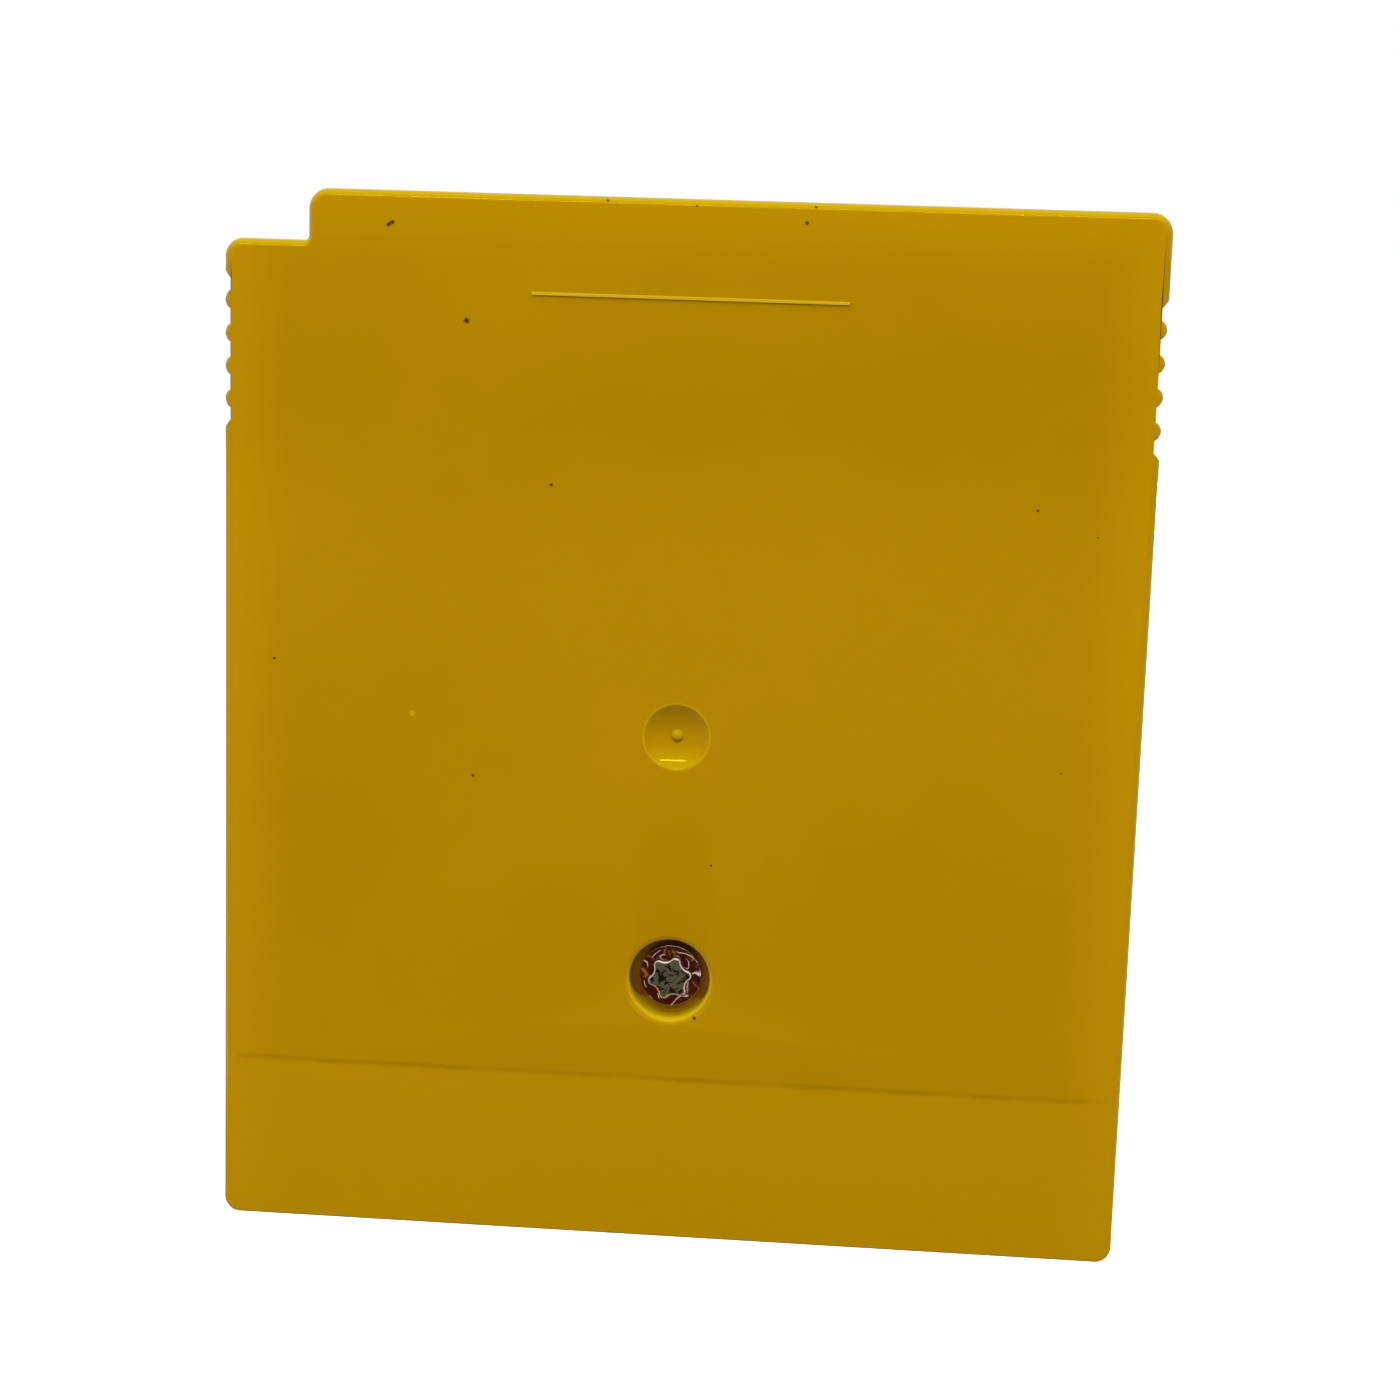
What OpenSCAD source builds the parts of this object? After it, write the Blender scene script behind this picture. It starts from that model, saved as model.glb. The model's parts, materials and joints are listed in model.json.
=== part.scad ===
// Game cartridge for a hand-held console, standing on its connector edge.
// X runs across the case, Y from the rear face (-Y) to the front face (+Y), Z up.
// The origin is the middle of the connector edge, on the surface the case stands on.

/* [Case] */
// Width across the case
case_w = 57; // [56:0.5:60]
// Height from the connector edge to the top edge
case_h = 65.3; // [64:0.1:68]
// Thickness from the rear face to the raised front platform
case_t = 7.8; // [7.7:0.1:9]
// Thickness of the large plates of both shells
plate_t = 1.5; // [1.3:0.05:1.55]
// Thickness of the side and top walls of both shells
side_wall_t = 1.5; // [1.2:0.1:1.8]
// Depth of the rear shell, from the rear face to the parting line
parting_depth = 2.6; // [2.4:0.1:2.9]
// Rounding of the outer edges of both faces
edge_r = 0.5; // [0.4:0.1:1]
// Outline radius of the two bottom corners
bottom_corner_r = 1.05; // [1.02:0.01:2]
// Outline radius of the two top corners
top_corner_r = 1.25; // [1.1:0.05:1.6]
// Outline radius of the shoulder corner beside the notch
shoulder_corner_r = 1.1; // [1.02:0.02:1.6]

/* [Notch] */
// Width of the notch in the top corner
notch_w = 5.15; // [4:0.05:6]
// Depth of the notch below the top edge
notch_h = 3.12; // [2.9:0.02:4]
// Radius in the inner corner of the notch
notch_inner_r = 0.25; // [0.15:0.05:0.4]

/* [Grips] */
// Distance from the shoulder beside the notch down to the grip
grip_drop = 2; // [1.6:0.1:3]
// Distance from one grip rib to the next
grip_pitch = 2; // [1.6:0.1:2.1]
// Number of ribs in each grip
grip_ribs = 4; // [3:1:4]
// Distance from an end of the grip to its nearest rib
grip_end = 1.7; // [1.5:0.1:2]
// Depth of the grip recess
grip_depth = 0.4; // [0.2:0.02:0.4]
// Radius of a grip rib
grip_rib_r = 0.59; // [0.5:0.01:0.65]
// Width of the grip on the front face
grip_front_w = 4.2; // [3:0.1:4.5]

/* [Rear face] */
// Height of the moulding gate dimple
dimple_z = 32.6; // [26:0.1:40]
// Diameter of the dimple
dimple_d = 4.1; // [3:0.1:5]
// Depth of the dimple
dimple_depth = 0.55; // [0.3:0.05:0.7]
// Diameter of the gate mark inside the dimple
gate_d = 0.82; // [0.5:0.02:1.2]
// Height of the gate mark above the dimple floor
gate_h = 0.25; // [0.1:0.05:0.3]
// Height where the rear face starts to taper to the connector edge
taper_z = 10.65; // [8:0.05:12]
// Depth of the taper at the connector edge
taper_depth = 0.35; // [0.1:0.05:0.5]
// Distance from the top edge down to the raised rule
rule_drop = 5.9; // [4:0.1:9]
// Length of the raised rule
rule_len = 19.2; // [10:0.2:24]
// Width of the raised rule
rule_w = 0.2; // [0.15:0.05:0.5]
// Height of the rule above the rear face
rule_h = 0.1; // [0.05:0.05:0.2]

/* [Front face] */
// Width of the lower margin on each side of the raised platform
margin_w = 4.5; // [4:0.1:4.8]
// Distance from the grip down to the end of the side margins
margin_drop = 1.2; // [1:0.1:2.5]
// Depth of the side margins below the platform
margin_step = 1.6; // [1.2:0.1:1.7]
// Rounding of the platform's long edges
platform_edge_r = 0.5; // [0.3:0.1:0.8]
// Width of the seat for a label
seat_w = 42; // [38:0.5:44]
// Height of the seat for a label
seat_h = 37; // [34:0.5:38]
// Distance from the end of the side margins down to the seat
seat_drop = 1; // [0.6:0.1:3]
// Corner radius of the label seat
seat_r = 2; // [1:0.1:4]
// Depth of the label seat
seat_depth = 0.3; // [0.15:0.05:0.4]
// Length of the round-ended panel above the seat
panel_w = 41; // [36:0.5:42]
// Height of the round-ended panel
panel_h = 8.6; // [7:0.1:9]
// Distance from the top edge down to the middle of the round-ended panel
panel_drop = 8.7; // [7.5:0.1:9.4]
// Depth of the round-ended panel
panel_depth = 0.3; // [0.15:0.05:0.4]
// Width of the insertion arrow
arrow_w = 4.6; // [3:0.1:7]
// Height of the insertion arrow
arrow_h = 2.8; // [2:0.1:4]
// Height of the arrow's upper edge
arrow_z = 8; // [6:0.1:9]
// Depth of the arrow
arrow_depth = 0.35; // [0.15:0.05:0.5]

/* [Screw] */
// Height of the screw above the connector edge
screw_z = 17.1; // [16:0.1:18]
// Diameter of the counterbore around the screw head
head_bore_d = 5; // [4.6:0.1:5.6]
// Depth of the counterbore
head_bore_depth = 1.75; // [1.6:0.05:1.85]
// Rounding of the counterbore's rim
head_bore_lip_r = 0.4; // [0.1:0.05:0.4]
// Plastic between the screw head and the circuit board
boss_floor_t = 0.95; // [0.85:0.05:1]
// Outer diameter of the boss in the rear shell
boss_d = 7.6; // [7:0.1:9]
// Diameter of the screw's flange
flange_d = 3.95; // [3.6:0.05:4.4]
// Thickness of the screw's flange
flange_t = 0.75; // [0.5:0.05:0.8]
// Overall diameter of the lobed drive
drive_d = 2.9; // [2.6:0.05:3.3]
// Height of the lobed drive above the flange
drive_h = 0.7; // [0.4:0.05:0.8]
// Number of lobes
drive_lobes = 6; // [6:1:6]
// Diameter of the screw's threaded shank
shank_d = 2.4; // [2:0.1:2.6]
// Length of the shank under the flange
shank_len = 4.2; // [3:0.1:4.4]
// Outer diameter of the post that takes the thread
post_d = 4.4; // [4:0.1:4.6]

/* [Hooks] */
// Distance of each hook from the middle of the case
hook_x = 14; // [8:0.5:17]
// Width of each hook
hook_w = 6; // [4:0.5:8]
// Thickness of each hook
hook_t = 1; // [0.8:0.1:1.4]
// Length of the hook's nose
hook_nose = 0.6; // [0.4:0.05:0.8]
// Height of the hook's nose along its leg
hook_nose_h = 0.6; // [0.4:0.05:0.8]
// Distance from the parting line to the hook's tip
hook_rise = 1.9; // [1.6:0.1:2.2]

/* [Circuit board] */
// Thickness of the board
board_t = 0.8; // [0.6:0.1:0.9]
// Depth of the board's lower edge inside the mouth
mouth_depth = 5.3; // [5:0.1:6]
// Thickness of the tongues beside the board
tongue_t = 1.4; // [1:0.1:1.6]
// Overlap of the board on the ledges that carry it
ledge_overlap = 0.9; // [0.5:0.1:1]
// Number of contact fingers
contact_count = 32; // [28:1:32]
// Distance from one contact finger to the next
contact_pitch = 1.5; // [1.3:0.05:1.5]
// Width of a contact finger
contact_w = 1; // [0.7:0.05:1.1]
// Length of a contact finger
contact_len = 7; // [5:0.5:7]
// Thickness of the plated finger
contact_t = 0.05; // [0.03:0.01:0.08]

/* [Chips] */
// Body size of the program chip, across and up
program_size = [11.2, 20.6];
// Gap between the program chip's leads and the platform's side wall
program_side_gap = 1.1; // [0.6:0.1:2]
// Distance from the board's top edge to the middle of the program chip
program_drop = 16.5; // [13:0.1:17]
// Body size of the save memory chip, up and across
memory_size = [8.4, 18.1];
// Gap between the save memory chip and the platform's side wall
memory_side_gap = 0.9; // [0.5:0.1:2]
// Distance from the board's top edge to the middle of the save memory chip
memory_drop = 30.9; // [30.2:0.1:34]
// Lead pitch of the two large chips
long_pitch = 1.27; // [1.1:0.01:1.27]
// Leads on each side of the program chip
program_leads_a_side = 16; // [14:1:16]
// Leads on each side of the save memory chip
memory_leads_a_side = 14; // [12:1:14]
// Thickness of the two large chips, over the board
long_chip_t = 2.3; // [1.8:0.1:2.4]
// Body width of the square bank chip
bank_w = 7; // [6.8:0.1:7.4]
// Distance from the middle of the program chip sideways to the bank chip
bank_shift = 0.8; // [0:0.1:2]
// Distance from the board's lower edge to the middle of the bank chip
bank_rise = 15; // [13.5:0.1:16]
// Leads on each side of the bank chip
bank_leads_a_side = 8; // [6:1:8]
// Lead pitch of the bank chip
bank_pitch = 0.8; // [0.65:0.05:0.8]
// Thickness of the bank chip, over the board
bank_t = 1.6; // [1.3:0.1:1.9]
// Body size of the supply monitor chip, across and up
monitor_size = [4.4, 5];
// Distance from the middle of the case to the middle of the supply monitor chip
monitor_shift = 1.8; // [1:0.1:2]
// Distance from the board's top edge to the middle of the supply monitor chip
monitor_drop = 13.5; // [12:0.1:15]
// Leads on each side of the supply monitor chip
monitor_leads_a_side = 4; // [3:1:4]
// Thickness of the supply monitor chip, over the board
monitor_t = 1.6; // [1.3:0.1:1.9]

/* [Backup cell] */
// Diameter of the cell
cell_d = 16; // [14:0.5:16]
// Gap between the cell and the platform's side wall
cell_side_gap = 0.6; // [0.4:0.1:1]
// Distance from the board's top edge to the middle of the cell
cell_drop = 13.3; // [12:0.1:13.5]
// Thickness of the cell
cell_t = 1.6; // [1.4:0.1:1.8]
// Thickness of the welded tabs
tab_t = 0.15; // [0.1:0.05:0.2]
// Width of the welded tabs
tab_w = 4; // [3:0.1:5]
// Length of a tab's foot past the cell
tab_foot = 2.6; // [2:0.1:3]

/* [Small parts] */
// Length of a small capacitor or resistor
chip_part_len = 2; // [1.8:0.1:2.2]
// Width of a small capacitor or resistor
chip_part_w = 1.25; // [1:0.05:1.4]
// Length of each plated end
end_cap_len = 0.4; // [0.3:0.05:0.5]
// Height of a capacitor
capacitor_h = 1; // [0.8:0.05:1.3]
// Height of a resistor
resistor_h = 0.55; // [0.4:0.05:0.7]

/* [Clearances] */
// Side gap between the tongues and the walls of the front shell
shell_gap = 0.1; // [0.05:0.05:0.15]
// Gap between the board and the tongues beside it
board_gap = 0.25; // [0.15:0.05:0.3]
// Gap between the board and the ribs that hold it down
press_gap = 0.05; // [0.02:0.01:0.1]
// Gap between the board and the top walls
board_top_gap = 1.25; // [1:0.05:1.5]
// Radial gap between the post and the hole in the board
post_gap = 0.2; // [0.1:0.05:0.3]
// Radial gap around the shank where it passes the rear shell
shank_gap = 0.25; // [0.15:0.05:0.3]
// Radial gap between the shank and the post it is cut into
thread_gap = 0.03; // [0.02:0.01:0.05]
// Gap around the hooks in their pockets
hook_gap = 0.15; // [0.1:0.05:0.2]

/* [Hidden] */
$fn = 64;
over = 0.5;

shell_colour = "#CFA000";
board_colour = "#2F6B3C";
chip_colour = "#26262A";
tin_colour = "#B9BBBD";
gold_colour = "#D2A850";
steel_colour = "#8C8A84";
gasket_colour = "#3A3F48";
ceramic_colour = "#B39A77";

// Depths, counted from the rear face forwards
y_rear = -case_t / 2;
y_front = case_t / 2;
y_rear_in = y_rear + plate_t;
y_front_in = y_front - plate_t;
y_parting = y_rear + parting_depth;
y_head_seat = y_rear + head_bore_depth;
y_board_back = y_head_seat + boss_floor_t;
y_board = y_board_back + board_t;
y_margin = y_front - margin_step;
y_margin_in = y_margin - plate_t;
y_hook_tip = y_parting + hook_rise;

// Places across the case
x_side = case_w / 2;
x_wall = x_side - side_wall_t;
x_notch = notch_w - x_side;
x_tongue_out = x_wall - shell_gap;
x_tongue_in = x_tongue_out - tongue_t;
board_w = 2 * (x_tongue_in - board_gap);
x_platform = x_side - margin_w;
x_platform_in = x_platform - plate_t;

// Places up the case
z_shoulder = case_h - notch_h;
z_top_wall = case_h - side_wall_t;
board_top_z = z_shoulder - side_wall_t - board_top_gap;
board_h = board_top_z - mouth_depth;
grip_slack = 0.05;
grip_len = 2 * grip_end + (grip_ribs - 1) * grip_pitch + grip_slack;
grip_slope = 0.45;
grip_rib_setback = 0.02;
grip_z = z_shoulder - grip_drop - grip_len;
platform_top_z = grip_z - margin_drop;
seat_z = platform_top_z - seat_drop - seat_h;
panel_z = case_h - panel_drop;
rule_z = case_h - rule_drop;

// Outline corners, anticlockwise as seen from the rear: across, up, radius.
// A negative radius marks an inner corner.
case_corners = [
  [-x_side, 0, bottom_corner_r], [x_side, 0, bottom_corner_r],
  [x_side, case_h, top_corner_r], [x_notch, case_h, top_corner_r],
  [x_notch, z_shoulder, -notch_inner_r], [-x_side, z_shoulder, shoulder_corner_r]];
inner_r = 0.4;
cavity_corners = [
  [-x_wall, -over, 0], [x_wall, -over, 0],
  [x_wall, z_top_wall, inner_r], [x_notch + side_wall_t, z_top_wall, inner_r],
  [x_notch + side_wall_t, z_shoulder - side_wall_t, -inner_r],
  [-x_wall, z_shoulder - side_wall_t, inner_r]];

// Supports inside the shells
ledge_z0 = 9;
ledge_top_gap = 3.5;
rest_pin_d = 2;
rest_pin_inset = 6.5;
rest_pin_x = x_platform_in - rest_pin_inset;
rest_pin_drop = 2.7;
rest_pin_z = board_top_z - rest_pin_drop;
press_rib_t = 0.8;
press_rib_z0 = 14;
press_rib_top_gap = 5.5;
mouth_chamfer = 0.5;
board_corner = 1.2;

// Gull-wing leads
lead_t = 0.15;
lead_out = 0.35;
lead_foot_start = 0.7;
lead_reach = 1.4;
long_lead_w = 0.42;
bank_lead_w = 0.35;
standoff = 0.1;
chip_draft = 0.12;
pin_mark_d = 1.1;
pin_mark_depth = 0.08;
pin_mark_inset = 1.4;

// Middles of the parts on the board, across and up
program_pos = [-(x_platform_in - program_side_gap - lead_reach - program_size[0] / 2),
  board_top_z - program_drop];
memory_pos = [x_platform_in - memory_side_gap - memory_size[1] / 2, board_top_z - memory_drop];
bank_pos = [program_pos[0] + bank_shift, mouth_depth + bank_rise];
monitor_pos = [-monitor_shift, board_top_z - monitor_drop];
cell_pos = [x_platform_in - cell_side_gap - cell_d / 2, board_top_z - cell_drop];
// Capacitors and resistors: shift from the middle of the case, and drop from the board's top edge
capacitor_shifts = [-1.8, -1.8, -1.8, -4.6];
capacitor_drops = [8.5, 19, 29.5, 37];
resistor_shifts = [-1.8, -1.8, 4.4];
resistor_drops = [22.6, 26, 21.9];
capacitor_places = [for (i = [0 : len(capacitor_shifts) - 1])
  [capacitor_shifts[i], board_top_z - capacitor_drops[i]]];
resistor_places = [for (i = [0 : len(resistor_shifts) - 1])
  [resistor_shifts[i], board_top_z - resistor_drops[i]]];

// Drawing helpers

function turn(p, q) = atan2(q[1] - p[1], q[0] - p[0]);
function corner_room(p) = abs(p[2]);

// Extrudes a flat drawing of x and z from depth y0 to depth y1
module slab(y0, y1) {
  translate([0, y1, 0]) rotate([90, 0, 0]) linear_extrude(y1 - y0) children();
}

// A bar along Z with a flat drawing of x and y as its section
module bar(z0, z1) {
  translate([0, 0, z0]) linear_extrude(z1 - z0) children();
}

// A round bar from depth y0 to depth y1
module pin(x, z, d, y0, y1) {
  translate([x, y1, z]) rotate([90, 0, 0]) cylinder(h = y1 - y0, d = d);
}

// What a radius takes off a square corner at the origin
module corner_waste(r) {
  difference() {
    translate([-over, -over]) square(r + over);
    translate([r, r]) circle(r);
  }
}

// Flat outline through a list of corners with their radii
module outline(corners) {
  n = len(corners);
  difference() {
    union() {
      polygon([for (c = corners) [c[0], c[1]]]);
      for (i = [0 : n - 1])
        if (corners[i][2] < 0)
          translate([corners[i][0], corners[i][1]])
            rotate(turn(corners[i], corners[(i + 1) % n]))
              inner_corner_fill(-corners[i][2]);
    }
    for (i = [0 : n - 1])
      if (corners[i][2] > 0)
        translate([corners[i][0], corners[i][1]])
          rotate(turn(corners[i], corners[(i + 1) % n]))
            corner_waste(corners[i][2]);
  }
}

// Fills an inner corner to a radius
module inner_corner_fill(r) {
  difference() {
    translate([-over, -r]) square([r + over, r + over]);
    translate([r, -r]) circle(r);
  }
}

// Section of the waste outside a rounded edge: across the edge, then into the depth
module edge_waste(r) {
  difference() {
    translate([-over, -over]) square(r + over);
    translate([r, r]) circle(r);
  }
}

// Waste along the rounded edge of a face, for every side and corner of an outline
module face_edge_waste(corners, r) {
  n = len(corners);
  for (i = [0 : n - 1]) {
    p = corners[i];
    q = corners[(i + 1) % n];
    run = norm([q[0] - p[0], q[1] - p[1]]);
    start = corner_room(p);
    stop = run - corner_room(q);
    translate([p[0], p[1], 0]) rotate([0, 0, turn(p, q)]) {
      translate([start, 0, 0]) rotate([90, 0, 90]) linear_extrude(stop - start) edge_waste(r);
      if (p[2] > 0)
        translate([p[2], p[2], 0]) rotate([0, 0, 180]) rotate_extrude(angle = 90)
          outer_corner_section(p[2], r);
      else
        translate([-p[2], p[2], 0]) rotate([0, 0, 90]) rotate_extrude(angle = 90)
          inner_corner_section(-p[2], r);
    }
  }
}

// Waste section at an outer corner, from its centre outwards
module outer_corner_section(corner_r, r) {
  difference() {
    translate([corner_r - r, -over]) square(r + over);
    translate([corner_r - r, r]) circle(r);
  }
}

// Waste section at an inner corner, from its centre outwards
module inner_corner_section(corner_r, r) {
  difference() {
    translate([0, -over]) square([corner_r + r, r + over]);
    translate([corner_r + r, r]) circle(r);
  }
}

// Rear face: depth runs forwards. Front face: depth runs backwards.
module at_rear_face() {
  translate([0, y_rear, 0]) mirror([0, 1, 0]) rotate([90, 0, 0]) children();
}
module at_front_face() {
  translate([0, y_front, 0]) rotate([90, 0, 0]) children();
}

// Both sides of the case
module both_sides() {
  children();
  mirror([1, 0, 0]) children();
}

// Waste of the grip on one side wall, through the whole thickness
module side_grip_waste() {
  slab(y_rear - over, y_front + over) difference() {
    polygon([
      [x_side + over, grip_z], [x_side + over, grip_z + grip_len],
      [x_side, grip_z + grip_len], [x_side - grip_depth, grip_z + grip_len - grip_slope],
      [x_side - grip_depth, grip_z + grip_slope], [x_side, grip_z]]);
    for (i = [0 : grip_ribs - 1])
      translate([x_side - grip_rib_r - grip_rib_setback, grip_rib_z(i)]) circle(grip_rib_r);
  }
}

function grip_rib_z(i) = grip_z + grip_end + i * grip_pitch + grip_slack / 2;

// Waste of the grip on the front face beside the round-ended panel
module front_grip_waste() {
  translate([x_side - grip_front_w, 0, 0]) rotate([90, 0, 90])
    linear_extrude(grip_front_w + over) difference() {
      polygon([
        [y_front + over, grip_z], [y_front + over, grip_z + grip_len],
        [y_front, grip_z + grip_len], [y_front - grip_depth, grip_z + grip_len - grip_slope],
        [y_front - grip_depth, grip_z + grip_slope], [y_front, grip_z]]);
      for (i = [0 : grip_ribs - 1])
        translate([y_front - grip_rib_r - grip_rib_setback, grip_rib_z(i)])
          circle(grip_rib_r);
    }
}

// Rear shell: plate, rim, screw boss, board ledges, tongues and hooks

module rear_shell() color(shell_colour) {
  difference() {
    union() {
      slab(y_rear, y_rear_in) outline(case_corners);
      slab(y_rear_in, y_parting) difference() {
        outline(case_corners);
        outline(cavity_corners);
      }
      pin(0, screw_z, boss_d, y_rear_in, y_board_back);
      both_sides() {
        board_ledge();
        pin(rest_pin_x, rest_pin_z, rest_pin_d, y_rear_in, y_board_back);
        shell_hook();
      }
    }
    at_rear_face() face_edge_waste(case_corners, edge_r);
    both_sides() side_grip_waste();
    rear_taper_waste();
    mouth_chamfer_waste();
    gate_dimple_waste();
    screw_hole_waste();
  }
  gate_mark();
  raised_rule();
}

// Ledge under the edge of the board, and the tongue beside it
module board_ledge() {
  bar(ledge_z0, board_top_z - ledge_top_gap) {
    translate([board_w / 2 - ledge_overlap, y_rear_in])
      square([x_wall - board_w / 2 + ledge_overlap, y_parting - y_rear_in]);
    translate([board_w / 2 - ledge_overlap, y_rear_in])
      square([x_tongue_out - board_w / 2 + ledge_overlap, y_board_back - y_rear_in]);
    translate([x_tongue_in, y_rear_in]) square([tongue_t, y_board - y_rear_in]);
  }
}

// Hook that holds the top edge of the front shell
module shell_hook() {
  leg_top = z_top_wall - hook_gap;
  translate([hook_x - hook_w / 2, 0, 0]) rotate([90, 0, 90]) linear_extrude(hook_w) {
    translate([y_rear_in, leg_top - hook_t]) square([y_hook_tip - y_rear_in, hook_t]);
    polygon([
      [y_hook_tip - hook_nose_h, leg_top], [y_hook_tip - hook_nose_h, leg_top + hook_nose],
      [y_hook_tip - hook_nose_h / 2, leg_top + hook_nose], [y_hook_tip, leg_top]]);
  }
}

// Slope of the rear face towards the connector edge
module rear_taper_waste() {
  translate([-x_side - over, 0, 0]) rotate([90, 0, 90]) linear_extrude(case_w + 2 * over)
    polygon([
      [y_rear, taper_z], [y_rear + taper_depth * (taper_z + over) / taper_z, -over],
      [y_rear - over, -over], [y_rear - over, taper_z]]);
}

// Lead-in along the inner edge of the mouth, for the plate of the rear shell
module mouth_chamfer_waste() {
  translate([-x_wall, 0, 0]) rotate([90, 0, 90]) linear_extrude(2 * x_wall)
    polygon([
      [y_rear_in - mouth_chamfer, -over], [y_rear_in - mouth_chamfer, 0],
      [y_rear_in, mouth_chamfer], [y_rear_in + over, mouth_chamfer], [y_rear_in + over, -over]]);
}

// Dished mark left by the moulding gate
module gate_dimple_waste() {
  ball_r = (dimple_d * dimple_d / 4 + dimple_depth * dimple_depth) / (2 * dimple_depth);
  translate([0, y_rear + dimple_depth - ball_r, dimple_z]) sphere(ball_r);
}
module gate_mark() {
  floor_y = y_rear + dimple_depth;
  dome_r = (gate_d * gate_d / 4 + gate_h * gate_h) / (2 * gate_h);
  intersection() {
    pin(0, dimple_z, gate_d, floor_y - gate_h, floor_y + gate_h);
    translate([0, floor_y - gate_h + dome_r, dimple_z]) sphere(dome_r);
  }
}

// Raised rule across the upper part of the rear face
module raised_rule() {
  translate([-rule_len / 2, y_rear - rule_h, rule_z - rule_w / 2])
    cube([rule_len, 2 * rule_h, rule_w]);
}

// Counterbore with a rounded rim, and the hole for the shank
module screw_hole_waste() {
  translate([0, 0, screw_z]) {
    pin(0, 0, head_bore_d, y_rear - over, y_head_seat);
    pin(0, 0, shank_d + 2 * shank_gap, y_rear, y_board_back + over);
    translate([0, y_rear, 0]) rotate([-90, 0, 0]) rotate_extrude() difference() {
      translate([0, -over]) square([head_bore_d / 2 + head_bore_lip_r, over + head_bore_lip_r]);
      translate([head_bore_d / 2 + head_bore_lip_r, head_bore_lip_r]) circle(head_bore_lip_r);
    }
  }
}

// Front shell: stepped face, walls, screw post and ribs that hold the board down

module front_shell() color(shell_colour) {
  difference() {
    slab(y_parting, y_front) outline(case_corners);
    front_cavity();
    at_front_face() face_edge_waste(case_corners, edge_r);
    both_sides() {
      side_grip_waste();
      front_grip_waste();
      margin_waste();
      hook_pocket();
    }
    front_mouth_chamfer_waste();
    label_seat_waste();
    panel_waste();
    arrow_waste();
  }
  difference() {
    pin(0, screw_z, post_d, y_board_back, y_front_in);
    pin(0, screw_z, shank_d + 2 * thread_gap, y_board_back - over, y_front_in);
  }
  both_sides() {
    bar(press_rib_z0, platform_top_z - press_rib_top_gap)
      translate([x_platform_in, y_board + press_gap])
        square([press_rib_t, y_margin_in - y_board - press_gap]);
    pin(rest_pin_x + rest_pin_d, rest_pin_z, rest_pin_d, y_board + press_gap, y_front_in);
  }
}

// Room inside the front shell, lower under the side margins
module front_cavity() {
  intersection() {
    slab(y_parting - over, y_front_in) outline(cavity_corners);
    union() {
      slab(y_parting - over, y_margin_in)
        translate([-x_side, -over]) square([case_w, case_h]);
      slab(y_parting - over, y_front_in) {
        translate([-x_platform_in, -over]) square([2 * x_platform_in, case_h]);
        translate([-x_side, platform_top_z + plate_t]) square([case_w, case_h]);
      }
    }
  }
}

// Waste in front of a side margin, with both long edges rounded
module margin_waste() {
  bar(-over, platform_top_z) {
    translate([x_platform, y_margin]) square([x_side, y_front]);
    translate([x_platform, y_front]) rotate(180) edge_waste_flat(platform_edge_r);
    translate([x_side, y_margin]) rotate(180) edge_waste_flat(edge_r);
  }
}

// Section of the waste at a rounded edge whose corner is at the origin
module edge_waste_flat(r) {
  difference() {
    square(r);
    translate([r, r]) circle(r);
  }
}

// Pocket in the top wall for the hook's nose
module hook_pocket() {
  x0 = hook_x - hook_w / 2 - hook_gap;
  y0 = y_hook_tip - hook_nose_h - hook_gap;
  y1 = y_hook_tip + hook_gap;
  translate([x0, y0, z_top_wall - over])
    cube([hook_w + 2 * hook_gap, y1 - y0, over + hook_nose]);
}

// Lead-in along the inner edge of the mouth, for the plate of the front shell
module front_mouth_chamfer_waste() {
  translate([-x_platform_in, 0, 0]) rotate([90, 0, 90]) linear_extrude(2 * x_platform_in)
    polygon([
      [y_front_in + mouth_chamfer, -over], [y_front_in + mouth_chamfer, 0],
      [y_front_in, mouth_chamfer], [y_front_in - over, mouth_chamfer], [y_front_in - over, -over]]);
}

// Rounded rectangle about the middle line of the face
module rounded_field(w, z0, h, r) {
  outline([[-w / 2, z0, r], [w / 2, z0, r], [w / 2, z0 + h, r], [-w / 2, z0 + h, r]]);
}

module label_seat_waste() {
  slab(y_front - seat_depth, y_front + over) rounded_field(seat_w, seat_z, seat_h, seat_r);
}

// Round-ended panel between the grips
module panel_waste() {
  slab(y_front - panel_depth, y_front + over) {
    translate([-(panel_w - panel_h) / 2, panel_z - panel_h / 2]) square([panel_w - panel_h, panel_h]);
    for (side = [-1, 1])
      translate([side * (panel_w - panel_h) / 2, panel_z]) circle(d = panel_h);
  }
}

// Arrow that shows which end goes in first
module arrow_waste() {
  slab(y_front - arrow_depth, y_front + over)
    polygon([[-arrow_w / 2, arrow_z], [0, arrow_z - arrow_h], [arrow_w / 2, arrow_z]]);
}

// Security screw: shank, flange and lobed drive

module case_screw() color(steel_colour) {
  pin(0, screw_z, shank_d, y_head_seat, y_head_seat + shank_len);
  pin(0, screw_z, flange_d, y_head_seat - flange_t, y_head_seat);
  difference() {
    translate([0, 0, screw_z]) slab(y_head_seat - flange_t - drive_h, y_head_seat - flange_t)
      lobed_section();
    pin(0, screw_z, punch_d, y_head_seat - flange_t - drive_h - over,
      y_head_seat - flange_t - drive_h + punch_depth);
  }
}
punch_d = 0.6;
punch_depth = 0.12;

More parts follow.
